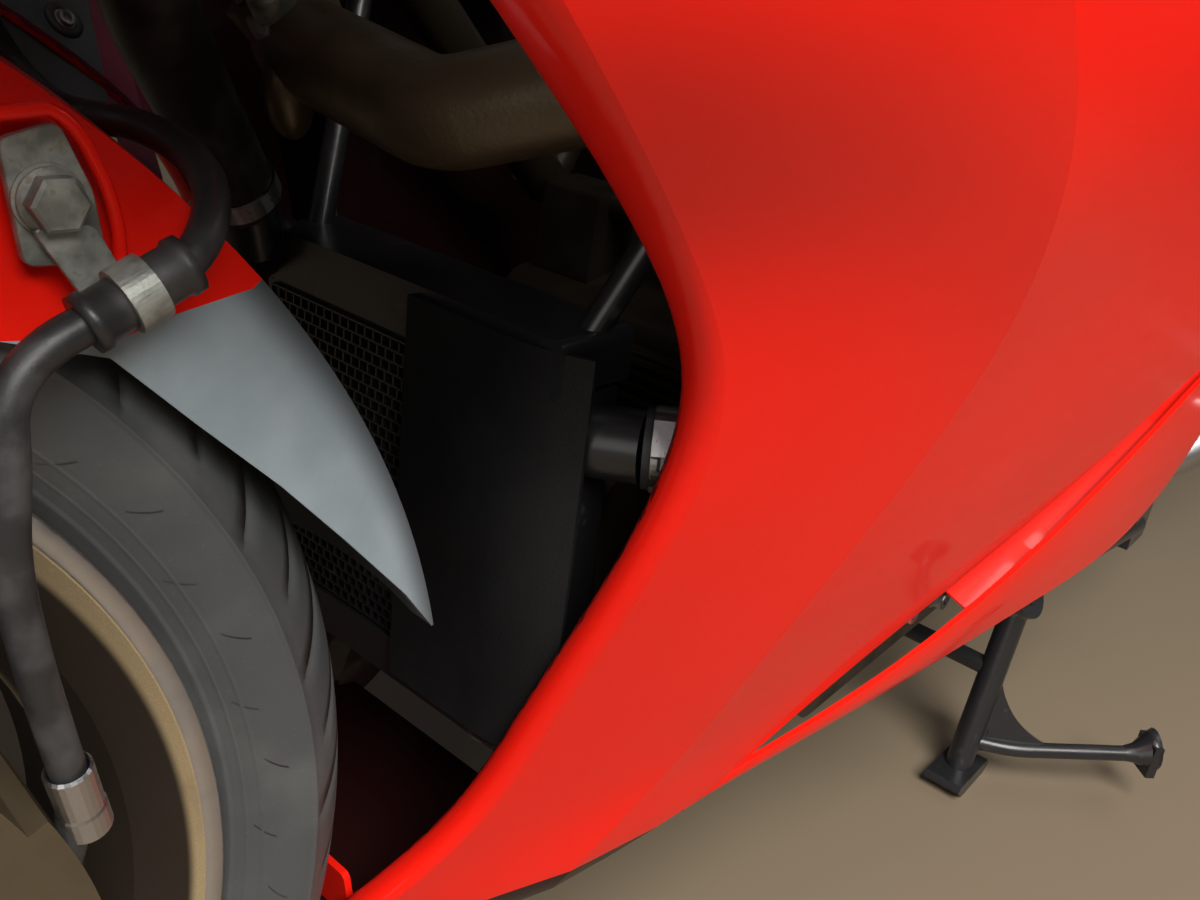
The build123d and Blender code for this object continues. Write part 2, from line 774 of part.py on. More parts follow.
@cache
def radiator():
    """Core between an upper and a lower tank, carried by two stays from the frame."""
    low, high = radiator_low, radiator_high
    core = outline([(radiator_right, low), (radiator_left, low), (radiator_left, high), (radiator_right, high)])
    shape = cross_plate(core, radiator_x, radiator_depth)
    for base, top in ((low - 22, low), (high, high + 24)):
        tank = outline([(radiator_right, base), (radiator_left, base), (radiator_left, top), (radiator_right, top)], 5)
        shape = shape + cross_plate(tank, radiator_x - 6, radiator_depth + 10)
    for y in (-84, 84):
        end = (300, math.copysign(124, y), 604)
        shape = shape + rod((radiator_x + 14, y, high + 12), end, 6)
    neck = rod((386, -93, high + 14), upper_hose[0], 15)
    shape = shape + rod((366, -96, high + 8), (388, -91, high + 20), 15) + neck
    shape = shape + rod((radiator_x + 18, radiator_left - 10, 431), lower_hose[0], 15)
    sides = frame_side()
    return shape - sides - mirrored(sides)


@cache
def coolant_hoses():
    """Thick hose down to the radiator's upper neck, and the lower one back to the engine's pump."""
    shape = None
    for route in (upper_hose, lower_hose):
        start = Vector(*route[0])
        along = (Vector(*route[1]) - start).normalized()
        hose = pipe(route, 16.5) + rod(start + along * 2, start + along * 14, 18)
        hose = hose - engine() - radiator()
        shape = hose if shape is None else group(shape, hose)
    return shape


def radiator_carrier():
    """Cast arm across the top of the radiator with a bolted boss, between the frame's lower joints."""
    arm = pipe([(304, -122, 600), (360, -112, 584), (392, -50, 560), (398, 40, 548), (362, 112, 576), (304, 122, 600)], 20, 34)
    boss = rod((384, -58, 560), (402, -66, 580), 17)
    bolt = rod((402, -66, 580), (406, -68, 585), 11)
    sides = frame_side()
    return arm + boss + bolt - sides - mirrored(sides) - radiator() - coolant_hoses()


def inner_panel():
    """Dark splash panel from the radiator's side to the fairing, left side."""
    face = outline([(84, 240), (300, 240), (300, 560), (150, 560), (140, 470), (124, 440), (110, 300)])
    plate = cross_plate(face, 306, 3)
    return innermost(plate - fairing_panel() - frame_side())


def deflector():
    """Smooth panel in front of the radiator's left half, bowed out towards the fairing."""
    x = radiator_x + radiator_depth + 4 + seat_gap
    edges = [
        Line((x, 12, 284), (x, 60, 284)),
        ThreePointArc((x, 60, 284), (x - 2, 86, 284), (x - 9, 106, 284)),
        Line((x - 9, 106, 284), (x - 6, 107, 284)),
        ThreePointArc((x - 6, 107, 284), (x + 1, 86.5, 284), (x + 3, 60, 284)),
        Line((x + 3, 60, 284), (x + 3, 12, 284)),
        Line((x + 3, 12, 284), (x, 12, 284)),
    ]
    return largest(extrude(make_face(edges), amount=188, dir=(0, 0, 1)) - fairing_panel())


def inner_panels():
    left = inner_panel()
    return group(innermost(left - coolant_hoses()), mirrored(left), deflector() - radiator() - coolant_hoses())


collector = (-250, -130, 225, 290)
# Left link pipe, below the chain and behind the stowed stand
link_route = [
    (-242, 62, 248),
    (-312, 84, 224),
    (-400, 104, 214),
    (-458, 186, 236),
    (-512, 212, 372),
    (-548, 214, 400),
]


@cache
def exhaust_headers():
    """Front header under the crankcase, rear header down behind it, collector box and both link pipes."""
    x_low, x_high, z_low, z_high = collector
    box = side_plate(outline([(x_low, z_low), (x_high, z_low), (x_high, z_high), (x_low, z_high)], 12), -86, 172)
    front = pipe([(300, 0, 275), (304, 0, 205), (240, -24, 178), (100, -40, 176), (-90, -40, 182), (-150, -40, 236)], 19)
    rear = pipe([(-78, 40, 560), (-146, 40, 555), (-149, 40, 440), (-150, 40, 280)], 19)
    shape = box + front + rear
    link = pipe(link_route, 21)
    return shape + link + mirrored(link) - engine()


silencer_front = Vector(-540, 213, 394)
silencer_rear = Vector(-962, 226, 500)


def silencers():
    """Oval cans with coned ends, a hanger strap and a bored outlet."""
    line = (silencer_rear - silencer_front).normalized()
    # Stations along the can: distance, half width, half height
    stations = [(0, 26, 26), (55, 52, 60), (380, 56, 64), (432, 40, 46)]
    faces = []
    for distance, wide, high in stations:
        place = Plane(origin=silencer_front + line * distance, x_dir=(0, 1, 0), z_dir=line)
        faces.append(place * Ellipse(wide, high))
    can = loft(faces, ruled=True)
    can = can - rod(silencer_front + line * 400, silencer_front + line * 450, 24)
    hang = silencer_front + line * 190
    strap = Plane(origin=hang, x_dir=(0, 1, 0), z_dir=line) * Ellipse(58, 66)
    band = extrude(strap, amount=22)
    lug = rod(hang + Vector(0, -20, 50), (-585, 128, 560), 9)
    shape = can + band + lug
    return both_sides(shape - exhaust_headers() - footrest_carrier())


# Fairing

# Levels of the side panel: z, front edge x y, crease x y, middle x y, rear x y
panel_levels = [
    (165, 438, 52, 335, 88, 90, 128, -240, 170),
    (222, 426, 75, 300, 112, 60, 150, -240, 190),
    (310, 391, 110, 268, 145, 20, 178, -240, 208),
    (410, 380, 147, 241, 180, 0, 208, -240, 228),
    (480, 389, 165, 238, 203, 0, 222, -240, 238),
    (540, 440, 176, 272, 222, 0, 234, -240, 245),
    (600, 530, 205, 335, 234, 0, 244, -240, 248),
    (650, 590, 210, 400, 238, 0, 246, -240, 245),
    (720, 640, 214, 420, 240, 0, 240, -240, 235),
    (790, 650, 215, 400, 236, 0, 225, -240, 215),
]
lip_radius = 9
# Side-view outline of the panel: x, z
panel_outline = [
    (760, 150),
    (445, 170),
    (380, 164),
    (300, 178),
    (250, 190),
    (163, 239),
    (69, 293),
    (-15, 345),
    (-80, 384),
    (-190, 440),
    (-96, 762),
    (340, 774),
    (430, 660),
    (760, 652),
]


def panel_section(z, front_x, front_y, crease_x, crease_y, middle_x, middle_y, rear_x, rear_y):
    """One level of the panel's wall, from its rolled front lip over the crease to the rear edge."""
    front = Vector(front_x, front_y)
    crease = Vector(crease_x, crease_y)
    back = (crease - front).normalized()
    inward = Vector(-back.Y, back.X)
    start = front + back * lip_radius
    centre = start + inward * lip_radius
    small = lip_radius - panel_wall

    def lip(radius, angle):
        turn = math.radians(angle)
        return centre - inward * (radius * math.cos(turn)) - back * (radius * math.sin(turn))

    def at(point, shift=0):
        return (point.X, point.Y - shift, z)

    wall = panel_wall
    middle = Vector(middle_x, middle_y)
    rear = Vector(rear_x, rear_y)
    inner_start = start + inward * wall
    return [
        ThreePointArc(at(lip(lip_radius, 150)), at(lip(lip_radius, 75)), at(start)),
        Line(at(start), at(crease)),
        ThreePointArc(at(crease), at(middle), at(rear)),
        Line(at(rear), at(rear, wall)),
        ThreePointArc(at(rear, wall), at(middle, wall), at(crease, wall)),
        Line(at(crease, wall), at(inner_start)),
        ThreePointArc(at(inner_start), at(lip(small, 75)), at(lip(small, 150))),
        Line(at(lip(small, 150)), at(lip(lip_radius, 150))),
    ]


@cache
def fairing_panel():
    wall = smooth(*[panel_section(*level) for level in panel_levels])
    region = side_plate(outline(panel_outline), 0, 400)
    return wall & region


def side_fairing_left():
    return fairing_panel()


def side_fairing_right():
    return mirrored(fairing_panel())


# Stations of the lower blade: x, lip y z, bottom y z
blade_stations = [
    (252, 110, 189, 107, 181),
    (200, 131, 213, 124, 196),
    (110, 157, 241, 148, 212),
    (0, 189, 302, 174, 232),
    (-110, 213, 372, 193, 244),
    (-225, 231, 428, 210, 292),
]


def blade_section(x, lip_y, lip_z, bottom_y, bottom_z):
    wall = panel_wall
    bulge_y = (lip_y + bottom_y) / 2 + 2
    bulge_z = (lip_z + bottom_z) / 2
    return [
        ThreePointArc((x, lip_y, lip_z), (x, bulge_y, bulge_z), (x, bottom_y, bottom_z)),
        Line((x, bottom_y, bottom_z), (x, bottom_y - wall, bottom_z)),
        ThreePointArc((x, bottom_y - wall, bottom_z), (x, bulge_y - wall, bulge_z), (x, lip_y - wall, lip_z)),
        Line((x, lip_y - wall, lip_z), (x, lip_y, lip_z)),
    ]


# Stations of the wall inside the slot: x, lip y z, panel's y and lower edge z
slot_stations = [
    (52, 174, 272, 180, 305),
    (0, 189, 302, 189, 337),
    (-110, 213, 372, 217, 400),
    (-200, 227, 417, 229, 446),
]
slot_depth = 22
slot_wall = 3


def slot_section(x, lip_y, lip_z, panel_y, panel_z):
    """One station of the channel from the blade's inside, in, up and out to the panel's inside."""
    face = [
        (lip_y - panel_wall - 0.2, lip_z - 9),
        (lip_y - slot_depth, lip_z - 2),
        (panel_y - slot_depth, panel_z + 10),
        (panel_y - panel_wall, panel_z + 24),
    ]
    back = [(y - slot_wall, z) for y, z in reversed(face)]
    return Wire.make_polygon([(x, y, z) for y, z in face + back], close=True)


@cache
def blade():
    """Lower strip of the fairing, set out below the slot, with the channel's wall."""
    shape = smooth(*[blade_section(*station) for station in blade_stations])
    shape = shape + Part([Solid.make_loft([slot_section(*station) for station in slot_stations], ruled=True)])
    top = [(260, 192), (163, 240), (69, 340), (-15, 400), (-190, 510), (-300, 510)]
    region = side_plate(outline([(260, 100)] + top + [(-300, 100)]), 0, 400)
    return (shape & region) - fairing_panel()


def lower_fairing_left():
    return blade()


def lower_fairing_right():
    return mirrored(blade())


def belly_pan():
    """Floor behind the front wheel that joins the two side panels, with an upright lip at its front."""
    plate = outline([(316, 96), (326, 92.5), (429, 58), (437, 0), (429, -58), (326, -92.5), (316, -96)])
    shape = Pos(0, 0, 180) * extrude(plate, amount=panel_wall)
    lip = outline([(-50, 180), (50, 180), (42, 208), (-42, 208)], 4)
    panel = fairing_panel()
    return largest(shape + cross_plate(lip, 428, panel_wall) - panel - mirrored(panel))


# Levels of the nose: z, rear x y, side x y, front x
nose_levels = [
    (655, 470, 231, 600, 205, 752),
    (740, 404, 245, 640, 200, 812),
    (820, 384, 240, 640, 185, 815),
    (870, 404, 225, 610, 180, 780),
    (905, 440, 200, 545, 175, 700),
]


def nose_section(z, rear_x, rear_y, side_x, side_y, front_x):
    wall = panel_wall
    return [
        Line((rear_x, rear_y, z), (side_x, side_y, z)),
        ThreePointArc((side_x, side_y, z), (front_x, 0, z), (side_x, -side_y, z)),
        Line((side_x, -side_y, z), (rear_x, -rear_y, z)),
        Line((rear_x, -rear_y, z), (rear_x, wall - rear_y, z)),
        Line((rear_x, wall - rear_y, z), (side_x, wall - side_y, z)),
        ThreePointArc((side_x, wall - side_y, z), (front_x - wall, 0, z), (side_x, side_y - wall, z)),
        Line((side_x, side_y - wall, z), (rear_x, rear_y - wall, z)),
        Line((rear_x, rear_y - wall, z), (rear_x, rear_y, z)),
    ]


lamp_half_width = 108
lamp_low = 738
lamp_high = 842


@cache
def nose_shell():
    return smooth(*[nose_section(*level) for level in nose_levels])


def lamp_opening(shrink=0):
    low, high, half = lamp_low + shrink, lamp_high - shrink, lamp_half_width - shrink
    shape = outline([(-half, high), (half, high), (half - 26, low), (26 - half, low)], 12)
    return cross_plate(shape, 690, 200)


def nose_fairing():
    panel = fairing_panel()
    return nose_shell() - lamp_opening() - panel - mirrored(panel)


def headlamp():
    """Flush lens in the nose with its bowl behind, carried by the stay."""
    lens = nose_shell() & lamp_opening(seat_gap)
    bowl = cross_plate(outline([(-92, 832), (92, 832), (70, 748), (-70, 748)], 12), 706, 60)
    tunnel = cross_plate(outline([(-84, 826), (84, 826), (64, 754), (-64, 754)], 10), 760, 60)
    tunnel = tunnel - nose_shell()
    inside = max(tunnel.solids(), key=lambda solid: -solid.center().X)
    stay = rod((480, 0, 842), (706, 0, 802), 12)
    return group(lens + bowl + Part([inside])) - stay


# Levels of the screen: z, side x, half width, front x
screen_levels = [(905, 600, 158.9, 700), (1040, 560, 140, 640), (1190, 470, 100, 548)]


def screen_section(z, side_x, half, front_x):
    wall = panel_wall
    return [
        ThreePointArc((side_x, half, z), (front_x, 0, z), (side_x, -half, z)),
        Line((side_x, -half, z), (side_x, wall - half, z)),
        ThreePointArc((side_x, wall - half, z), (front_x - wall, 0, z), (side_x, half - wall, z)),
        Line((side_x, half - wall, z), (side_x, half, z)),
    ]


def screen():
    return smooth(*[screen_section(*level) for level in screen_levels])


def instruments():
    """Dial housing behind the screen on its stay from the lamp."""
    body = cross_plate(outline([(-112, 905), (112, 905), (100, 985), (-100, 985)], 20), 560, 40)
    stay = rod((596, 0, 930), (720, 0, 828), 9)
    return body + stay - cross_plate(outline([(-92, 832), (92, 832), (70, 748), (-70, 748)], 12), 706, 60)


def mirrors():
    stalk = rod((572, 188, 892), (596, 352, 1002), 9)
    head = Box(46, 158, 92)
    head = fillet(head.edges(), 18)
    head = Pos(596, 366, 1022) * head
    foot = rod((572, 170, 880), (572, 192, 895), 16)
    return both_sides(largest(stalk + head + foot - nose_shell()))


# Tank, seat and tail


def arched_section(x, half, low, high, shoulder):
    """One station of a rounded body: flat base, two bowed sides and an arched top."""
    return [
        Line((x, -half, low), (x, half, low)),
        ThreePointArc((x, half, low), (x, half * 1.06, (low + high) / 2 - 6), (x, half * 0.74, high - shoulder)),
        ThreePointArc((x, half * 0.74, high - shoulder), (x, 0, high), (x, -half * 0.74, high - shoulder)),
        ThreePointArc((x, -half * 0.74, high - shoulder), (x, -half * 1.06, (low + high) / 2 - 6), (x, -half, low)),
    ]


# Stations: x, half width, base z, top z, drop to the shoulder
tank_stations = [
    (322, 92, 800, 918, 22),
    (240, 142, 790, 962, 26),
    (90, 140, 785, 950, 26),
    (-64, 88, 790, 850, 16),
]
seat_stations = [
    (-64.3, 86, 786, 838, 10),
    (-180, 130, 770, seat_height, 10),
    (-330, 142, 772, seat_height + 6, 10),
    (-400, 136, 782, seat_height + 46, 12),
    (-540, 118, 800, seat_height + 58, 12),
    (-650, 92, 812, seat_height + 50, 12),
]
tail_stations = [
    (-300, 134, 700, 771, 8),
    (-480, 136, 716, 792, 10),
    (-660, 118, 748, 860, 14),
    (-800, 92, 776, 868, 14),
    (-900, 66, 800, 862, 12),
]


def tank():
    body = smooth(*[arched_section(*station) for station in tank_stations])
    sides = frame_side()
    cap = rod((150, 0, 950), (146, 0, 966), 42)
    return body + cap - sides - mirrored(sides)


@cache
def seat():
    return smooth(*[arched_section(*station) for station in seat_stations])


def tail_cowl():
    """Hollow tail that carries the seat's rear and wraps the subframe, open below."""
    outer = smooth(*[arched_section(*station) for station in tail_stations])
    wall = panel_wall
    inner_stations = []
    for x, half, low, high, shoulder in tail_stations:
        x = x + wall if x < -850 else x
        x = x + 10 if x > -350 else x
        inner_stations.append((x, half - wall, low - 6, high - wall, shoulder))
    inner = smooth(*[arched_section(*station) for station in inner_stations])
    sides = frame_side()
    return outer - inner - seat() - grab_rail_tube() - sides - mirrored(sides)


def tail_lamps():
    """Tail lamp on the end of the tail and the two indicators on their stems."""
    lamp = fillet(Box(26, 116, 44).edges(), 8)
    lamp = Pos(-913.3, 0, 832) * lamp
    stem = rod((-880, 40, 742), (-880, 118, 748), 8)
    head = Pos(-880, 142, 748) * fillet(Box(54, 60, 36).edges(), 12)
    side = stem + head
    return group(lamp, side - rear_mudguard(), mirrored(side - rear_mudguard()))


@cache
def rear_mudguard():
    """Under-tail and plate holder, curving down and back behind the wheel."""
    under = [(-700, 772), (-850, 750), (-960, 660), (tail_end_x + 9, 540)]
    top = [(tail_end_x, 541), (-968, 664), (-856, 757), (-700, 779)]
    path = under + top
    shape = side_plate(outline(path), -78, 156)
    ribs = side_plate(outline([(-720, 772), (-850, 752), (-920, 692), (-860, 716), (-780, 748)]), 66, 6)
    x, _, z = joints["tail"]
    lug = rod((x, 50, z - 36), (x, 50, z - 4), 9) - rod((x, 0, z), (x, 100, z), 9)
    return shape + ribs + mirrored(ribs) + lug + mirrored(lug)


@cache
def grab_rail_tube():
    points = [
        (-560, 126, 772),
        (-590, 150, 820),
        (-660, 158, 866),
        (-820, 132, 892),
        (-882, 70, 896),
        (-882, -70, 896),
        (-820, -132, 892),
        (-660, -158, 866),
        (-590, -150, 820),
        (-560, -126, 772),
    ]
    return pipe(points, 10, [40, 50, 60, 40, 40, 60, 50, 40])


rack_spacing = 100
rack_hole = 4.25


def grab_rail():
    """Rail around the passenger seat with a drilled carrier plate for a rack."""
    plate = Pos(-806, 0, 896) * fillet(Box(160, 272, 6).edges().filter_by(Axis.Z), 12)
    plate = plate - Pos(-806, 0, 896) * Box(60, 150, 10)
    shape = grab_rail_tube() + plate
    for x in (-806 - rack_spacing / 2, -806 + rack_spacing / 2):
        for y in (-rack_spacing / 2, rack_spacing / 2):
            shape = shape - rod((x, y, 880), (x, y, 910), rack_hole)
    sides = frame_side()
    return shape - sides - mirrored(sides)


@cache
def footrest_carrier():
    """Left plate below the seat that carries the passenger's peg and the silencer."""
    rear = outline([(-400, 712), (-420, 560), (-470, 520), (-620, 570), (-600, 590), (-470, 560), (-440, 700)], 6)
    shape = side_plate(rear, 122, 8) + rod((-480, 124, 545), (-480, 215, 545), 12)
    return shape - frame_side()


def footrests():
    """Brackets with the rider's and passenger's folding pegs, shift and brake pedals."""
    plate = outline([(-130, 500), (-96, 470), (-190, 330), (-340, 330), (-366, 356), (-250, 420), (-170, 500)], 8)
    shape = side_plate(plate, 168, 8)
    shape = shape + rod((-130, 126, 470), (-130, 168, 470), 11)
    shape = shape + rod((-205, 165, 355), (-205, 168, 355), 16)
    shape = shape + rod((-338, 176, 350), (-338, 268, 350), 13)
    shape = shape + pipe([(-338, 180, 350), (-270, 186, 352), (-241, 192, 346), (-241, 240, 345)], 6, [60, 14])
    shape = shape - fairing_panel() - blade() - frame_side()
    return both_sides(group(shape, footrest_carrier()))


# Stands

side_stand_stowed = Vector(-1, 0.10, -0.03).normalized()
side_stand_down = Vector(0.25, 0.52, -0.82).normalized()
side_stand_hinge = side_stand_stowed.cross(side_stand_down).normalized()
# The lug leaves the pivot on the side that the leg never sweeps
stand_lug_direction = (side_stand_stowed + side_stand_down).normalized() * -1


@cache
def stand_brackets():
    """Ears below the crankcase's rear that hold the centre stand, and the side stand's lug."""
    ear = outline([(-84, 215), (-84, 262), (-126, 262), (-212, 212), (-212, 172), (-170, 170), (-120, 206)], 8)
    ears = side_plate(ear, 98, 12)
    x, z = stand_pivot
    ears = ears - rod((x, 60, z), (x, 140, z), stand_pivot_radius + running_gap)
    body = engine()
    pipes = exhaust_headers()
    return group((ears - body - pipes), (mirrored(ears) - body - pipes), side_stand_lug() - body - ears)


stand_barrel_half = 13
stand_cheek = 6
stand_pin_radius = 8


def side_stand_lug():
    """Fork on the crankcase: a cheek on each side of the side stand's barrel, and the pin through both."""
    place = Plane(origin=side_stand_pivot, x_dir=stand_lug_direction, z_dir=side_stand_hinge)
    inside = stand_barrel_half + seat_gap
    outside = inside + stand_cheek
    fork = extrude(place * (Circle(18) + Pos(48, 0) * Rectangle(96, 28)), amount=outside, both=True)
    room = extrude(place * Circle(24), amount=inside, both=True)
    pin = extrude(place * Circle(stand_pin_radius), amount=outside + 1.5, both=True)
    return fork - room + pin


def centre_stand():
    """Two legs on a cross tube, with curved foot plates, a brace and the tang for the rider's foot."""
    px, pz = stand_pivot
    top = Vector(px, stand_half_width - 1, pz)
    foot = Vector(px + stand_foot_ahead, stand_half_width + 2, 10)
    shape = rod((px, -stand_half_width, pz), (px, stand_half_width, pz), stand_pivot_radius)
    leg = rod(top, foot, stand_tube_radius) + Pos(*top) * Sphere(stand_pivot_radius + 2)
    pad = outline([(foot.X - 30, 5), (foot.X - 22, 0), (foot.X + 22, 0), (foot.X + 34, 9), (foot.X + 30, 14), (foot.X - 28, 12)], 2)
    pad = side_plate(pad, foot.Y - 16, 32)
    gusset = outline([(px - 6, pz - 12), (px + 8, pz - 30), (px + 26, 60), (px + 22, 30), (px - 22, 42), (px - 4, 90)], 3)
    gusset = side_plate(gusset, foot.Y - 4, 6)
    side = leg + pad
    tang_root = top + (foot - top) * 0.86
    tip = Vector(px - 56, stand_half_width + 122, 44)
    tang = pipe([tuple(tang_root), (px + 22, stand_half_width + 34, 36), tuple(tip)], 6.5)
    end = Pos(*tip) * Rot(0, 0, -45) * Box(8, 26, 30)
    brace = top + (foot - top) * 0.5
    shape = shape + side + mirrored(side) + gusset + tang + end
    return shape + rod((brace.X, -brace.Y, brace.Z), (brace.X, brace.Y, brace.Z), 8)



def side_stand():
    """Leg folded back below the blade, with its foot plate, on a bored barrel."""
    pivot = Vector(*side_stand_pivot)
    end = pivot + side_stand_stowed * side_stand_length
    half = side_stand_hinge * stand_barrel_half
    shape = rod(pivot, end, 10) + rod(pivot - half, pivot + half, 15) + Pos(*end) * Box(44, 12, 34)
    return shape - rod(pivot - half * 2, pivot + half * 2, stand_pin_radius + running_gap)


pieces = {
    "front_rim": front_rim,
    "front_tyre": front_tyre,
    "front_discs": front_discs,
    "rear_rim": rear_rim,
    "rear_tyre": rear_tyre,
    "rear_disc": rear_disc,
    "rear_sprocket": rear_sprocket,
    "chain": chain,
    "front_axle": front_axle_bolt,
    "fork_left": lambda: steered(fork_leg()),
    "fork_right": lambda: steered(mirrored(fork_leg())),
    "fork_clamps": fork_clamps,
    "handlebars": handlebars,
    "grips": grips,
    "levers": levers,
    "mudguard": mudguard,
    "mudguard_extension": mudguard_extension,
    "front_calipers": front_calipers,
    "hose_bracket": hose_bracket,
    "brake_hoses": brake_hoses,
    "frame_left": frame_left,
    "frame_right": frame_right,
    "frame_head": frame_head,
    "engine": engine_cut,
    "swingarm": swingarm,
    "rear_axle": rear_axle_bolt,
    "shock": shock,
    "rear_caliper": rear_caliper,
    "radiator": radiator,
    "radiator_carrier": radiator_carrier,
    "coolant_hoses": coolant_hoses,
    "inner_panels": inner_panels,
    "exhaust_headers": exhaust_headers,
    "silencers": silencers,
    "side_fairing_left": side_fairing_left,
    "side_fairing_right": side_fairing_right,
    "lower_fairing_left": lower_fairing_left,
    "lower_fairing_right": lower_fairing_right,
    "belly_pan": belly_pan,
    "nose_fairing": nose_fairing,
    "headlamp": headlamp,
    "screen": screen,
    "instruments": instruments,
    "mirrors": mirrors,
    "tank": tank,
    "seat": seat,
    "tail_cowl": tail_cowl,
    "tail_lamps": tail_lamps,
    "rear_mudguard": rear_mudguard,
    "grab_rail": grab_rail,
    "footrests": footrests,
    "stand_brackets": stand_brackets,
    "centre_stand": centre_stand,
    "side_stand": side_stand,
}

os.makedirs("parts", exist_ok=True)
for node, make in pieces.items():
    export_step(make(), f"parts/{node}.step")
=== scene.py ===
import json
import math

import bmesh
import bpy
from mathutils import Matrix, Vector


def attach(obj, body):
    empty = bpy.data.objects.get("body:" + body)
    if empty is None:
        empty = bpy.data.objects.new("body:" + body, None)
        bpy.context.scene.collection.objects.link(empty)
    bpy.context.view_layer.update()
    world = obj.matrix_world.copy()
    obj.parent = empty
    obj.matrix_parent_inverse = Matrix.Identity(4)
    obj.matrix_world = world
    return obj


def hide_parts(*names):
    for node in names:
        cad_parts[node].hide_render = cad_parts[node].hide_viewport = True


# Looks of a sport touring motorcycle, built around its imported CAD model. Metres, +X forward, +Y left, +Z up.
# Long lists of points are in millimetres, and place() turns them into metres.

bl_info = {
    "name": "Sport touring motorcycle looks",
    "version": (1, 0, 0),
    "blender": (4, 5, 0),
    "location": "3D View > Sidebar > Motorcycle",
    "description": "Materials, tyres, hoses, trim, light and camera around the CAD model of a motorcycle",
    "category": "Object",
}

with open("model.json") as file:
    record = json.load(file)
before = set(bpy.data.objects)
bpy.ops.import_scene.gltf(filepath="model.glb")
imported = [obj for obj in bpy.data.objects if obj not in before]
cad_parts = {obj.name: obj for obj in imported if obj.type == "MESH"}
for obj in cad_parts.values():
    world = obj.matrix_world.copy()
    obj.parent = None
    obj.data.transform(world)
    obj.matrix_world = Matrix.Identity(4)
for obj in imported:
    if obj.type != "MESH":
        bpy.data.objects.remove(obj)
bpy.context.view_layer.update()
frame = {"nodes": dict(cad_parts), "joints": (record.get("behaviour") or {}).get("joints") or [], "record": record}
MM = 0.001


# Places taken from the frame


def joint(name):
    return next(item for item in frame["joints"] if item["name"] == name)


steer_point = Vector(joint("steering_head")["pos_m"])
steer_axis = Vector(joint("steering_head")["axis"])
parked_steer = math.radians(-5.15)
rear_axle = Vector(joint("rear_wheel_spin")["pos_m"])
parked = (
    Matrix.Translation(steer_point)
    @ Matrix.Rotation(parked_steer, 4, steer_axis)
    @ Matrix.Translation(-steer_point)
)
front_axle = parked.inverted() @ Vector(joint("front_wheel_spin")["pos_m"])
steered_bodies = ("steering", "front_wheel")
# Each wheel's name and axle; its tyre's radius, width and half width inside the beads in mm; half width of its rim
wheels = (
    ("front", front_axle, 300.0, 120.0, 46.0, 0.053),
    ("rear", rear_axle, 318.0, 170.0, 70.0, 0.077),
)
# Radii of the rims' flange and of the tyres' foot inside it, in mm
rim_flange = 231.0
bead_foot = 216.3
brake_hose_radius = 0.0050
coolant_hose_radius = 0.0165


def place(points):
    """Millimetre points of the frame as metre vectors."""
    return [Vector(point) * MM for point in points]


# Materials


class Value:
    """A number, vector or colour inside a material. Arithmetic on it adds the nodes that work it out."""

    def __init__(self, recipe, socket):
        self.recipe = recipe
        self.socket = socket

    def math(self, operation, *others):
        sockets = dict(enumerate((self, *others)))
        return self.recipe.value("ShaderNodeMath", 0, sockets, operation=operation)

    def __add__(self, other):
        return self.math("ADD", other)

    def __mul__(self, other):
        return self.math("MULTIPLY", other)

    def __rsub__(self, other):
        return self.math("MULTIPLY_ADD", -1.0, other)

    __radd__ = __add__
    __rmul__ = __mul__

    def above(self, low, high):
        """0 at low, 1 at high, smooth between."""
        sockets = {"Value": self, "From Min": low, "From Max": high}
        return self.recipe.value("ShaderNodeMapRange", "Result", sockets, interpolation_type="SMOOTHSTEP")

    def axis(self, letter):
        return self.recipe.value("ShaderNodeSeparateXYZ", letter, {0: self})

    def moved(self, scale, shift=(0, 0, 0)):
        return self.recipe.value("ShaderNodeMapping", 0, {"Vector": self, "Location": shift, "Scale": scale})


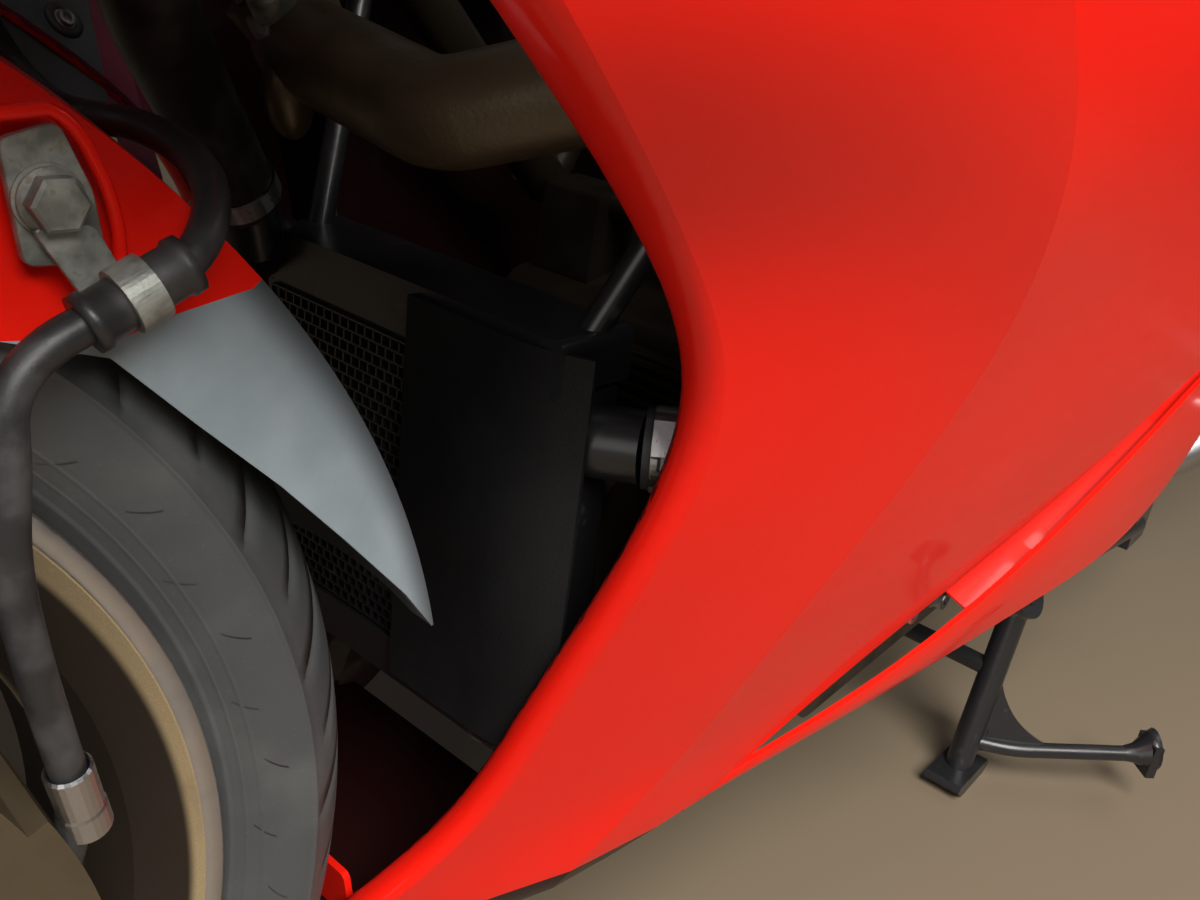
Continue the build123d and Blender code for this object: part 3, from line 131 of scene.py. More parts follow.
class Recipe:
    """One node material. Constants go straight onto the Principled shader's sockets."""

    def __init__(self, name, base, roughness, metallic=0.0, **constants):
        self.material = bpy.data.materials.new(name)
        self.material.use_nodes = True
        self.tree = self.material.node_tree
        self.shader = self.tree.nodes["Principled BSDF"]
        self.shader.inputs["Base Color"].default_value = (*base, 1)
        self.shader.inputs["Roughness"].default_value = roughness
        self.shader.inputs["Metallic"].default_value = metallic
        self.material.diffuse_color = (*base, 1)
        for socket, number in constants.items():
            self.shader.inputs[socket.replace("_", " ")].default_value = number
        self.base = base
        self.last_bump = None
        self.place = self.value("ShaderNodeTexCoord", "Object")

    def feed(self, item, socket):
        if isinstance(item, Value):
            self.tree.links.new(item.socket, socket)
        else:
            socket.default_value = item

    def value(self, kind, output, sockets=None, **settings):
        """One output of a new node: its settings come first, then the values or links of its sockets."""
        node = self.tree.nodes.new(kind)
        for name, setting in settings.items():
            setattr(node, name, setting)
        for name, item in (sockets or {}).items():
            self.feed(item, node.inputs[name])
        return Value(self, node.outputs[output])

    def noise(self, scale, detail=3.0, at=None):
        return self.value("ShaderNodeTexNoise", "Fac", {"Vector": at or self.place, "Scale": scale, "Detail": detail})

    def cells(self, scale):
        return self.value("ShaderNodeTexVoronoi", "Distance", {"Vector": self.place, "Scale": scale})

    def distance_to(self, axle):
        """Distance from an axle in the side view."""
        flat = self.place.moved((1, 0, 1), Vector((-axle.x, 0, -axle.z)))
        return self.value("ShaderNodeVectorMath", "Value", {0: flat}, operation="LENGTH")

    def mix(self, factor, first, second):
        first, second = ((*item, 1) if isinstance(item, tuple) else item for item in (first, second))
        # Sockets 6 and 7 and output 2 are the ones for colours
        return self.value("ShaderNodeMix", 2, {0: factor, 6: first, 7: second}, data_type="RGBA")

    def normal_away(self):
        """1 where a surface faces up or away from the motorcycle's middle plane, 0 on a panel's inside."""
        normal = self.value("ShaderNodeNewGeometry", "True Normal")
        side = self.place.axis("Y").math("SIGN")
        lifted = normal.axis("Z").math("ABSOLUTE") * 0.5
        facing_out = normal.axis("Y") * side + lifted
        return (facing_out + normal.axis("X").math("ABSOLUTE") * 0.5).above(-0.25, -0.05)

    def colour(self, value):
        self.feed(value, self.shader.inputs["Base Color"])

    def rough(self, value):
        self.feed(value, self.shader.inputs["Roughness"])

    def bump(self, height, distance, strength=1.0):
        """Adds a relief, whose height from 0 to 1 stands for a distance in metres."""
        sockets = {"Height": height, "Distance": distance, "Strength": strength}
        if self.last_bump:
            sockets["Normal"] = self.last_bump
        self.last_bump = self.value("ShaderNodeBump", "Normal", sockets)
        self.feed(self.last_bump, self.shader.inputs["Normal"])

    def varied(self, dark, light, scale, detail=3.0):
        """The base colour wanders between two shares of itself."""
        factor = self.noise(scale, detail).above(0.3, 0.7)
        self.colour(self.mix(factor, shade(self.base, dark), shade(self.base, light)))


# A dull magenta for red in shade: painted shade and light on the red mouldings' insides
red_in_shade = (0.17, 0.022, 0.045)


def shade(colour, share):
    """A colour made darker or lighter by a share."""
    return tuple(min(1.0, channel * share) for channel in colour)


def red_paint():
    """Clear-coated red over a moulded panel, with faint orange peel. The panels' insides and the belly pan's upward
    floor get painted shade, with painted light near the right panel's front edge.
    """
    deep, bright = (0.80, 0.010, 0.004), (0.88, 0.014, 0.006)
    coat = {"Coat_Weight": 0.4, "Coat_Roughness": 0.04, "Coat_IOR": 1.33}
    recipe = Recipe("red_paint", deep, 0.42, IOR=1.22, **coat)
    # Painted shade: the belly pan's floor, which faces up, is as dark as the insides
    paint_clear_of_shade = recipe.normal_away() * recipe.place.axis("Z").above(0.1842, 0.1845)
    wander = recipe.noise(3.0).above(0.3, 0.7)
    colour = recipe.mix(wander, deep, bright)
    # Painted light: the right panel's inside is painted lighter near its front edge, as a dull magenta; the rest of the
    # insides is painted shade
    lit = recipe.place.axis("X").above(0.36, 0.40) * (recipe.place.axis("Y") * -1.0).above(0.12, 0.15)
    inside = recipe.mix(lit, (0.016, 0.004, 0.004), red_in_shade)
    recipe.colour(recipe.mix(paint_clear_of_shade, inside, colour))
    recipe.bump(recipe.noise(260.0, 1.0), 0.00003)
    recipe.bump(recipe.noise(9.0, 1.0), 0.0005, 0.6)
    smear = recipe.noise(14.0, 4.0, recipe.place.moved(scale=(1, 1, 4)))
    recipe.rough(smear * 0.10 + 0.30)
    return recipe.material


def wheel_gold():
    """Matt champagne paint with a fine metal flake and patches of brake dust. The barrel's deep inside and the spokes'
    sides get painted shade.
    """
    recipe = Recipe("wheel_gold", (0.44, 0.34, 0.20), 0.42, 0.55)
    # Painted shade: the barrel's deep inside, and the sides of the spokes and hub below it, are dark brown
    from_front = recipe.distance_to(parked @ front_axle)
    radius = from_front.math("MINIMUM", recipe.distance_to(rear_axle))
    normal = recipe.value("ShaderNodeNewGeometry", "Normal")
    face = normal.axis("Y").math("ABSOLUTE").above(0.3, 0.5) * (1 - radius.above(0.186, 0.190))
    well_painted_shade = 1 - radius.above(0.2140, 0.2170).math("MAXIMUM", face)
    flake = recipe.cells(1800.0)
    dust = recipe.noise(22.0, 5.0).above(0.42, 0.75)
    base = recipe.mix(flake, (0.40, 0.31, 0.18), (0.52, 0.41, 0.25))
    painted = recipe.mix(dust * 0.45, base, (0.20, 0.15, 0.10))
    recipe.colour(recipe.mix(well_painted_shade, painted, (0.030, 0.021, 0.015)))
    recipe.rough(dust * 0.2 + well_painted_shade * 0.25 + 0.38)
    recipe.bump(recipe.noise(420.0, 2.0), 0.00004)
    return recipe.material


def cast_paint(name, base):
    """Bronze paint over a casting or tube: grainy relief, dirt in the low spots, and painted shade deep inside the
    motorcycle.
    """
    recipe = Recipe(name, base, 0.42, 0.5)
    grain = recipe.noise(520.0, 3.0)
    dirt = recipe.noise(18.0, 6.0).above(0.48, 0.72)
    # Painted shade within 0.27 m of the middle along x, fading out by 0.37 m
    casting_clear_of_shade = recipe.place.axis("X").math("ABSOLUTE").above(0.27, 0.37)
    dirty = recipe.mix(dirt * 0.55, base, shade(base, 0.35))
    recipe.colour(recipe.mix(casting_clear_of_shade, shade(base, 0.25), dirty))
    recipe.rough(dirt * 0.3 + 0.36)
    recipe.bump(grain, 0.00012)
    return recipe.material


def tyre_rubber():
    """Road tyre: dark carbon grey, dusty, with fine moulding lines around the sidewall."""
    recipe = Recipe("tyre_rubber", (0.062, 0.065, 0.068), 0.62)
    dust = recipe.noise(26.0, 6.0).above(0.45, 0.8)
    speck = recipe.noise(700.0, 2.0).above(0.64, 0.76)
    base = recipe.mix(dust, (0.056, 0.060, 0.063), (0.084, 0.086, 0.086))
    recipe.colour(recipe.mix(speck * 0.2, base, (0.15, 0.145, 0.135)))
    recipe.rough(dust * 0.18 + 0.55)
    recipe.bump(recipe.noise(900.0, 2.0), 0.00010)
    return recipe.material


def black_rubber():
    """Hose and grip rubber: soft black with a woven undertone and wiped patches."""
    recipe = Recipe("black_rubber", (0.018, 0.018, 0.020), 0.46)
    wiped = recipe.noise(60.0, 4.0).above(0.4, 0.75)
    recipe.colour(recipe.mix(wiped, (0.016, 0.016, 0.017), (0.050, 0.049, 0.050)))
    recipe.rough(wiped * 0.25 + 0.40)
    recipe.bump(recipe.noise(1100.0, 2.0), 0.00006)
    return recipe.material


def moulded(name, dark, light, roughness):
    """Moulded plastic with a pebbled grain and faint dust."""
    recipe = Recipe(name, light, roughness, Specular_IOR_Level=0.22)
    dust = recipe.noise(12.0, 5.0).above(0.35, 0.8)
    recipe.colour(recipe.mix(dust, dark, light))
    recipe.rough(dust * 0.12 + roughness)
    recipe.bump(recipe.cells(900.0), 0.00008)
    return recipe.material


def grey_plastic():
    """Pale grey moulding of the mudguard's tail, with faint dust, and painted shade along its crown."""
    recipe = Recipe("grey_plastic", (0.27, 0.33, 0.37), 0.36)
    # Painted shade along the crown, where the moulding turns away from the light
    crown = recipe.distance_to(parked @ front_axle).above(0.306, 0.321)
    dust = recipe.noise(30.0, 5.0).above(0.35, 0.8)
    plain = recipe.mix(dust, (0.23, 0.285, 0.32), (0.30, 0.355, 0.39))
    recipe.colour(recipe.mix(crown, plain, (0.05, 0.06, 0.07)))
    recipe.rough(dust * 0.12 + 0.32)
    recipe.bump(recipe.cells(1400.0), 0.00003)
    return recipe.material


def shaded_inner_red():
    """Painted shade of a red moulding's unlit inside: dull, matt magenta."""
    recipe = Recipe("shaded_inner_red", red_in_shade, 0.5)
    recipe.varied(0.85, 1.1, 25.0)
    recipe.bump(recipe.noise(500.0, 2.0), 0.00004)
    return recipe.material


def panel_grey():
    """Dark grey moulding inside the right panel, matt and slightly dusty."""
    recipe = Recipe("panel_grey", (0.075, 0.080, 0.084), 0.5, Specular_IOR_Level=0.3)
    recipe.varied(0.8, 1.15, 40.0, 4.0)
    recipe.bump(recipe.noise(700.0, 2.0), 0.00005)
    return recipe.material


def black_paint():
    """Satin black over steel, rubbed a little and dusty on top."""
    recipe = Recipe("black_paint", (0.014, 0.014, 0.016), 0.32, 0.0, Coat_Weight=0.25, Coat_Roughness=0.2)
    rubbed = recipe.noise(90.0, 5.0).above(0.62, 0.76)
    recipe.colour(recipe.mix(rubbed * 0.5, (0.013, 0.013, 0.015), (0.07, 0.068, 0.065)))
    recipe.rough(recipe.noise(40.0, 4.0) * 0.25 + 0.22)
    recipe.bump(recipe.noise(300.0, 2.0), 0.00006)
    return recipe.material


def bare_metal(name, base, roughness, grain=(40, 900, 900), dull=0.5):
    """Bare metal with a brushed or turned grain and dull, slightly stained patches."""
    recipe = Recipe(name, base, roughness, 1.0)
    stain = recipe.noise(35.0, 5.0).above(0.45, 0.8)
    line = recipe.noise(1.0, 3.0, recipe.place.moved(scale=grain))
    recipe.colour(recipe.mix(stain * dull, base, shade(base, 0.55)))
    recipe.rough(line * 0.22 + stain * 0.15 + (roughness - 0.1))
    recipe.bump(line, 0.00003)
    return recipe.material


def galvanised():
    """Dull zinc with cloudy stains and a rough, pitted skin."""
    recipe = Recipe("galvanised", (0.30, 0.31, 0.29), 0.55, 0.6)
    cloud = recipe.noise(120.0, 5.0).above(0.35, 0.7)
    rust = recipe.noise(240.0, 4.0).above(0.60, 0.72)
    base = recipe.mix(cloud, (0.17, 0.18, 0.165), (0.36, 0.37, 0.34))
    recipe.colour(recipe.mix(rust * 0.5, base, (0.16, 0.12, 0.06)))
    recipe.rough(cloud * 0.2 + 0.42)
    recipe.bump(recipe.noise(900.0, 3.0), 0.00012)
    return recipe.material


def fork_silver():
    recipe = Recipe("fork_silver", (0.72, 0.73, 0.75), 0.12, 1.0)
    recipe.rough(recipe.noise(30.0, 3.0) * 0.12 + 0.06)
    recipe.bump(recipe.noise(1.0, 2.0, recipe.place.moved(scale=(20, 20, 600))), 0.00001)
    return recipe.material


def clear_lens():
    recipe = Recipe("clear_lens", (0.93, 0.95, 0.97), 0.03, Transmission_Weight=1.0, IOR=1.49)
    recipe.rough(recipe.noise(40.0, 3.0) * 0.05)
    recipe.bump(recipe.noise(14.0, 1.0), 0.0003)
    return recipe.material


def screen_tint():
    recipe = Recipe("screen_tint", (0.62, 0.64, 0.66), 0.02, Transmission_Weight=1.0, IOR=1.2)
    recipe.rough(recipe.noise(25.0, 4.0).above(0.5, 0.9) * 0.08 + 0.01)
    recipe.bump(recipe.noise(10.0, 1.0), 0.0004)
    return recipe.material


def red_lens():
    recipe = Recipe("red_lens", (0.50, 0.008, 0.008), 0.10, Coat_Weight=1.0, Coat_Roughness=0.03)
    fluting = recipe.place.axis("Y") * 900.0
    recipe.bump(fluting.math("SINE") * 0.5 + 0.5, 0.0004)
    recipe.varied(0.8, 1.1, 30.0)
    return recipe.material


def seat_cover():
    """Grained cover: small pebbled cells with softer wrinkles between."""
    recipe = Recipe("seat_cover", (0.022, 0.022, 0.024), 0.5)
    grain = recipe.cells(520.0)
    recipe.bump(grain, 0.0003)
    recipe.bump(recipe.noise(24.0, 4.0), 0.0012, 0.5)
    worn = recipe.noise(7.0, 4.0).above(0.45, 0.75)
    recipe.colour(recipe.mix(worn, (0.016, 0.016, 0.018), (0.040, 0.039, 0.040)))
    recipe.rough(worn * 0.12 + 0.42)
    return recipe.material


recipes = {
    "red_paint": red_paint,
    "wheel_gold": wheel_gold,
    "frame_bronze": lambda: cast_paint("frame_bronze", (0.15, 0.11, 0.066)),
    "engine_bronze": lambda: cast_paint("engine_bronze", (0.10, 0.076, 0.046)),
    "tyre_rubber": tyre_rubber,
    "black_rubber": black_rubber,
    "black_plastic": lambda: moulded("black_plastic", (0.005, 0.005, 0.006), (0.012, 0.012, 0.013), 0.55),
    "grey_plastic": grey_plastic,
    "black_paint": black_paint,
    "fork_silver": fork_silver,
    "raw_aluminium": lambda: bare_metal("raw_aluminium", (0.55, 0.55, 0.56), 0.38, (300, 300, 300)),
    "steel": lambda: bare_metal("steel", (0.46, 0.46, 0.47), 0.3),
    "clear_lens": clear_lens,
    "screen_tint": screen_tint,
    "red_lens": red_lens,
    "seat_cover": seat_cover,
    # Finishes of single pieces, beside the record's slots
    "galvanised": galvanised,
    "shaded_inner_red": shaded_inner_red,
    "panel_grey": panel_grey,
}
paints = {}


def paint(finish):
    """The material of a slot or single finish, made once."""
    if finish not in paints:
        paints[finish] = recipes[finish]()
    return paints[finish]


# Pieces


def added(name, data, body, slot, replaces=(), finish=None):
    """A mesh or curve becomes a piece that rides on a body and takes its finish from a slot."""
    piece = bpy.data.objects.new(name, data)
    bpy.context.scene.collection.objects.link(piece)
    data.materials.append(paint(finish or slot))
    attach(piece, body)
    if replaces:
        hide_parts(*replaces)
    return piece


def mesh_of(bm, name):
    bmesh.ops.recalc_face_normals(bm, faces=bm.faces)
    mesh = bpy.data.meshes.new(name)
    bm.to_mesh(mesh)
    bm.free()
    return mesh


def finished(name, body, slot, bm, replaces=(), smooth=True, finish=None):
    """A shape becomes a piece. What the handlebars turn is drawn straight ahead, and is turned here as it is parked."""
    mesh = mesh_of(bm, name)
    if body in steered_bodies:
        mesh.transform(parked)
    for polygon in mesh.polygons:
        polygon.use_smooth = smooth
    return added(name, mesh, body, slot, replaces, finish)


def grid(bm, rows, closed_across=False, closed_along=False):
    """Faces between rows of points that all have the same length."""
    made = [[bm.verts.new(point) for point in row] for row in rows]
    count = len(made[0])
    row_pairs = list(zip(made, made[1:]))
    if closed_along:
        row_pairs.append((made[-1], made[0]))
    for first, second in row_pairs:
        for index in range(count if closed_across else count - 1):
            after = (index + 1) % count
            bm.faces.new((first[index], first[after], second[after], second[index]))
    return made


def capped(bm, rows):
    """A skin over closed rings of points, with a face at both ends."""
    made = grid(bm, rows, closed_across=True)
    bm.faces.new(made[0])
    bm.faces.new(made[-1])


def box(bm, matrix, size):
    bmesh.ops.create_cube(bm, size=1, matrix=matrix @ Matrix.Diagonal((*size, 1)))


def facing(direction, at):
    """A matrix whose Z points along a direction, placed at a point."""
    turn = Vector((0, 0, 1)).rotation_difference(Vector(direction))
    return Matrix.Translation(at) @ turn.to_matrix().to_4x4()


merge_distance = 1e-6


def lathe(bm, profile, matrix, steps):
    """Turns a profile of radius and height about the matrix's Z."""
    points = [bm.verts.new(matrix @ Vector((r, 0, h))) for r, h in profile]
    line = [bm.edges.new(pair) for pair in zip(points, points[1:])]
    turned = {"cent": matrix.translation, "axis": matrix.to_3x3().col[2], "angle": 2 * math.pi, "steps": steps}
    bmesh.ops.spin(bm, geom=points + line, use_merge=True, **turned)
    bmesh.ops.remove_doubles(bm, verts=bm.verts, dist=merge_distance)


def ring(matrix, wide, steps, height=0.0, tall=None):
    """Points of a circle about the matrix's Z, or of an ellipse where tall is given."""
    tall = tall or wide
    turns = [2 * math.pi * step / steps for step in range(steps)]
    return [matrix @ Vector((wide * math.cos(turn), tall * math.sin(turn), height)) for turn in turns]


def plate(bm, corners, thickness, rounding, across=(0, 1, 0)):
    """A flat plate with rounded corners and broken edges, thickened along a direction."""
    outline = []
    count = len(corners)
    for index, corner in enumerate(corners):
        back = (corners[index - 1] - corner).normalized() * rounding
        ahead = (corners[(index + 1) % count] - corner).normalized() * rounding
        for share in (0.0, 0.25, 0.5, 0.75, 1.0):
            outline.append(corner + back * (1 - share) ** 2 + ahead * share**2)
    middle = sum(outline, Vector()) / len(outline)
    across = Vector(across)
    rows = []
    for level, inset in ((0.0, 0.0), (0.85, 0.0), (1.0, 0.0004)):
        rows.append([p + (middle - p).normalized() * inset + across * (thickness * level) for p in outline])
    capped(bm, rows)


def flange_bolt(bm, at, direction, across, height, washer=1.35, socket=0.0):
    """Bolt head on a round flange: hexagonal, or a round cap with a hexagon socket."""
    matrix = facing(direction, at)
    radius = across / 2
    flange = radius * washer
    skirt = [(0, 0), (flange, 0), (flange, height * 0.14), (flange * 0.9, height * 0.24), (radius, height * 0.26)]
    lathe(bm, skirt, matrix, 32)
    corners = 24 if socket else 6
    outline = radius if socket else radius / math.cos(math.pi / 6)
    levels = [(1.0, height * 0.2), (1.0, height * 0.9), (0.86, height)]
    if socket:
        levels += [(socket, height), (socket, height * 0.45), (0.001, height * 0.45)]
    made = grid(bm, [ring(matrix, outline * share, corners, level) for share, level in levels], closed_across=True)
    if not socket:
        bm.faces.new(made[-1])


def ring_of(bm, middle, direction, radius, count, shift, profile, steps):
    """Like turned parts on a circle about a direction, the first of them shifted by a share of their spacing."""
    place_of = facing(direction, middle)
    for index in range(count):
        turn = 2 * math.pi * (index + shift) / count
        at = place_of @ Matrix.Translation((radius * math.cos(turn), radius * math.sin(turn), 0))
        lathe(bm, profile, at, steps)


def hose(name, body, node, route, radius):
    """A hose along one smooth NURBS line whose control points are the route."""
    curve = bpy.data.curves.new(name, "CURVE")
    curve.dimensions = "3D"
    spline = curve.splines.new("NURBS")
    spline.points.add(len(route) - 1)
    for point, spot in zip(spline.points, route):
        point.co = (*spot, 1)
    spline.order_u = 3
    spline.use_endpoint_u = True
    spline.resolution_u = 12
    curve.bevel_depth = radius
    curve.bevel_resolution = 8
    curve.use_fill_caps = True
    return added(name, curve, body, "black_rubber", [node])


# Wheels


def arc(first, middle, last, steps):
    """Points from first to last on the circle through all three, in radius and y."""
    (ax, ay), (bx, by), (cx, cy) = first, middle, last
    scale = 2 * (ax * (by - cy) + bx * (cy - ay) + cx * (ay - by))
    a, b, c = ax * ax + ay * ay, bx * bx + by * by, cx * cx + cy * cy
    ux = (a * (by - cy) + b * (cy - ay) + c * (ay - by)) / scale
    uy = (a * (cx - bx) + b * (ax - cx) + c * (bx - ax)) / scale
    radius = math.hypot(ax - ux, ay - uy)
    through = math.atan2(by - uy, bx - ux)
    # Both ends as turns from the middle point, less than half a circle away
    start, end = (
        (math.atan2(y - uy, x - ux) - through + math.pi) % (2 * math.pi) - math.pi for x, y in (first, last)
    )
    points = []
    for step in range(steps + 1):
        angle = through + start + (end - start) * step / steps
        points.append((ux + radius * math.cos(angle), uy + radius * math.sin(angle)))
    return points


def sidewall(radius, width, inside, steps):
    """A tyre's side from the rim's flange to its shoulder."""
    shoulder = radius - width * 0.28
    belly = ((rim_flange + shoulder) / 2 - 3, width / 2 - 3.5)
    return arc((rim_flange, inside - 0.3), belly, (shoulder, width / 2), steps)


def tyre_ticks(wheel, centre, radius, width, inside, pitches):
    """Thin curved dark moulding ticks on both sidewalls, each a tenth of a millimetre proud."""
    side = sidewall(radius, width, inside, 40)
    bm = bmesh.new()
    for tick in range(pitches * 2):
        for sign in (1, -1):
            rows = []
            first = 21 if tick % 2 else 15
            for index in range(first, first + 9):
                r, y = side[index]
                turn = 2 * math.pi * tick / (pitches * 2) + 0.0052 * (index - first) - 0.0002 * (index - first) ** 2
                row = []
                for half in (-0.0016, 0.0016):
                    angle = turn + half
                    row.append(Vector((r * math.cos(angle), sign * (y + 0.12), r * math.sin(angle))) * MM + centre)
                rows.append(row)
            grid(bm, rows)
    finished(f"tyre_{wheel}_ticks", f"{wheel}_wheel", "black_rubber", bm)


def tyre(wheel, centre, radius, width, inside, pitches):
    """Tyre with slanted tread cuts on a sheared grid and raised lines around its sidewalls."""
    half = width / 2
    side = sidewall(radius, width, inside, 22)
    shoulder = side[-1][0]
    crown = arc((shoulder, half), (radius, 0), (shoulder, -half), 40)
    # Raised lines and steps of the sidewall: radius, half width, height
    ridges = [
        (rim_flange + 4, 1.6, 0.9),
        (rim_flange + 9, 0.6, 0.5),
        (rim_flange + 14, 0.6, 0.5),
        (shoulder - 1, 1.1, 0.8),
    ]
    fine = []
    for (r1, y1), (r2, y2) in zip(side, side[1:]):
        for step in range(4):
            share = step / 4
            fine.append((r1 + (r2 - r1) * share, y1 + (y2 - y1) * share))
    raised = []
    for r, y in fine:
        lift = sum(height * max(0.0, 1 - abs(r - at) / reach) for at, reach, height in ridges)
        raised.append((r + lift * 0.3, y + lift))
    left = [(bead_foot, inside - 0.3)] + raised
    right = [(r, -y) for r, y in reversed(left)]
    profile = left + crown[:-1] + right
    first_crown = len(left)
    # Tread cuts: share of a pitch where it starts, its width, its span across as shares of the half width
    cuts = [(0.10, 0.056, 0.16, 0.90), (0.55, 0.046, 0.48, 0.97)]
    depth = 4.2
    edges = []
    for start, wide, _, _ in cuts:
        edges += [start, start + wide * 0.22, start + wide * 0.78, start + wide]
    columns = sorted(set([0.0] + edges + [0.30, 0.42, 0.75, 0.88]))
    rows = []
    for pitch in range(pitches):
        for share in columns:
            row = []
            for index, (r, y) in enumerate(profile):
                across = y / half
                lean = 0.55 * abs(across) ** 1.5 + (0.5 if across < 0 else 0)
                crown_row = first_crown <= index < first_crown + len(crown)
                angle = 2 * math.pi * (pitch + share + lean) / pitches
                sink = 0.0
                if crown_row:
                    for start, wide, low, high in cuts:
                        inner = start + wide * 0.21 <= share <= start + wide * 0.79
                        if inner and low <= abs(across) <= high:
                            ends = min(abs(across) - low, high - abs(across)) / 0.06
                            sink = depth * min(1.0, max(0.0, ends))
                rr = r - sink
                row.append(Vector((rr * math.cos(angle), y, rr * math.sin(angle))) * MM + centre)
            rows.append(row)
    bm = bmesh.new()
    grid(bm, rows, closed_across=True, closed_along=True)
    finished(f"tyre_{wheel}_detailed", f"{wheel}_wheel", "tyre_rubber", bm, [f"{wheel}_tyre"])


# Front end


rake = math.radians(24)


def fork_point(along, side, ahead):
    """Millimetres up the fork from the axle, to the left and ahead of the legs."""
    x = 735 - math.sin(rake) * along + math.cos(rake) * ahead
    return (x, side, 300 + math.cos(rake) * along + math.sin(rake) * ahead)


# The last bends of both brake hoses, from the mudguard down to the caliper
caliper_run = [(567, 92, 394), (562, 89, 368), (570, 86, 345)]
left_brake_hose = place(
    [fork_point(465.7, -8, -40), fork_point(446, -8, -40), (535, -16, 655), (533, -42, 618), (523, -63, 584)]
    + [(511, -68, 557), (503, -56, 543), (502, -36, 541.5), (502.5, -8, 543), (503, 16, 545.3), (503.6, 38, 544.8)]
    + [(504, 54, 542.4), (505.5, 67, 538.5), (509.5, 77, 533.5), (516, 86, 528), (523, 90, 522.5), (528, 90, 520)]
    + [(547, 90, 511), (561, 92, 506), (571, 94, 496), (572, 96, 479), (575, 96, 456), (573, 96, 430), *caliper_run]
)
right_brake_hose = place(
    [fork_point(465.7, 34, -40), fork_point(430, 34, -40), (554, 58, 610), (568, 86, 556), (577, 95, 505)]
    + [(583, 96, 465), (580, 96, 430), (568, 92, 394), *caliper_run[1:]]
)
for point in right_brake_hose:
    point.y *= -1
upper_hose = place(
    [(393, -90, 488), (409, -83, 511), (438, -63, 547), (470, -31, 577), (482, -14, 621), (448, -4, 664)]
)
lower_hose = place([(349, 116, 433.5), (335, 137, 435), (250, 150, 412), (170, 146, 374), (128, 140, 348)])


def band_clamp(bm, route, width, radius):
    """Worm-drive clamp around the start of a hose: band, housing and screw."""
    along = (route[1] - route[0]).normalized()
    matrix = facing(along, route[0] + along * 0.003)
    profile = [(radius, 0), (radius + 0.0008, 0.0004), (radius + 0.0008, width - 0.0004), (radius, width)]
    lathe(bm, profile, matrix, 48)
    housing = matrix @ Matrix.Translation((radius + 0.003, 0, width / 2))
    box(bm, housing, (0.006, 0.014, width * 0.9))
    screw = housing @ Matrix.Translation((0.001, 0.007, 0)) @ Matrix.Rotation(-math.pi / 2, 4, "X")
    lathe(bm, [(0, 0), (0.0028, 0), (0.0028, 0.005), (0.0012, 0.005), (0.0012, 0.0035), (0, 0.0035)], screw, 12)


def lattice(bm, low, high, cell, bar, x):
    """A guard of flat wires across the motorcycle at x, from low to high in y and z, in offset rows of cells."""
    wide, tall = cell
    depth = 0.0022
    rows = int((high[1] - low[1]) / tall)
    for row in range(rows + 1):
        z = low[1] + row * tall
        box(bm, Matrix.Translation((x, (low[0] + high[0]) / 2, z)), (depth, high[0] - low[0], bar))
        if row == rows:
            continue
        columns = int((high[0] - low[0]) / wide)
        for column in range(columns + 1):
            y = low[0] + wide * (column + (0.5 if row % 2 else 0))
            if y > high[0]:
                continue
            box(bm, Matrix.Translation((x, y, z + tall / 2)), (depth, bar, tall))


# Drive, springs and seat


def tube(bm, points, radius, steps=8):
    """A round tube through points, without end caps."""
    rows = []
    for index, point in enumerate(points):
        before = points[max(index - 1, 0)]
        after = points[min(index + 1, len(points) - 1)]
        rows.append(ring(facing((after - before).normalized(), point), radius, steps))
    grid(bm, rows, closed_across=True)


def coil(bm, start, end, radius, wire, turns):
    """A coil spring between two points. Its rings keep one orientation about the spring's line."""
    line = end - start
    matrix = facing(line.normalized(), start)
    rows = []
    steps = turns * 20
    for step in range(steps + 1):
        turn = 2 * math.pi * turns * step / steps
        out = Vector((math.cos(turn), math.sin(turn), 0))
        centre = out * radius + Vector((0, 0, line.length * step / steps))
        row = []
        for corner in range(8):
            angle = 2 * math.pi * corner / 8
            row.append(matrix @ (centre + out * (wire * math.cos(angle)) + Vector((0, 0, wire * math.sin(angle)))))
        rows.append(row)
    capped(bm, rows)


front_sprocket = 0.0385
rear_sprocket = 0.1065
chain_pitch = 0.015875
chain_line = 0.101


def chain_pins(small, small_radius, large, large_radius, pitch):
    """Places of the chain's pins, evenly spaced around both sprockets, in x and z."""
    gap = large - small
    base = math.atan2(gap.y, gap.x)
    lean = math.acos((small_radius - large_radius) / gap.length)
    line = []
    for centre, radius, first, last in (
        (small, small_radius, base + lean, base + 2 * math.pi - lean),
        (large, large_radius, base - lean, base + lean),
    ):
        for step in range(61):
            angle = first + (last - first) * step / 60
            line.append(centre + Vector((math.cos(angle), math.sin(angle))) * radius)
    line.append(line[0])
    length = sum((b - a).length for a, b in zip(line, line[1:]))
    count = 2 * round(length / pitch / 2)
    pins = []
    walked = 0.0
    for a, b in zip(line, line[1:]):
        run = (b - a).length
        while len(pins) < count and len(pins) * length / count <= walked + run:
            pins.append(a + (b - a) * ((len(pins) * length / count - walked) / run))
        walked += run
    return pins


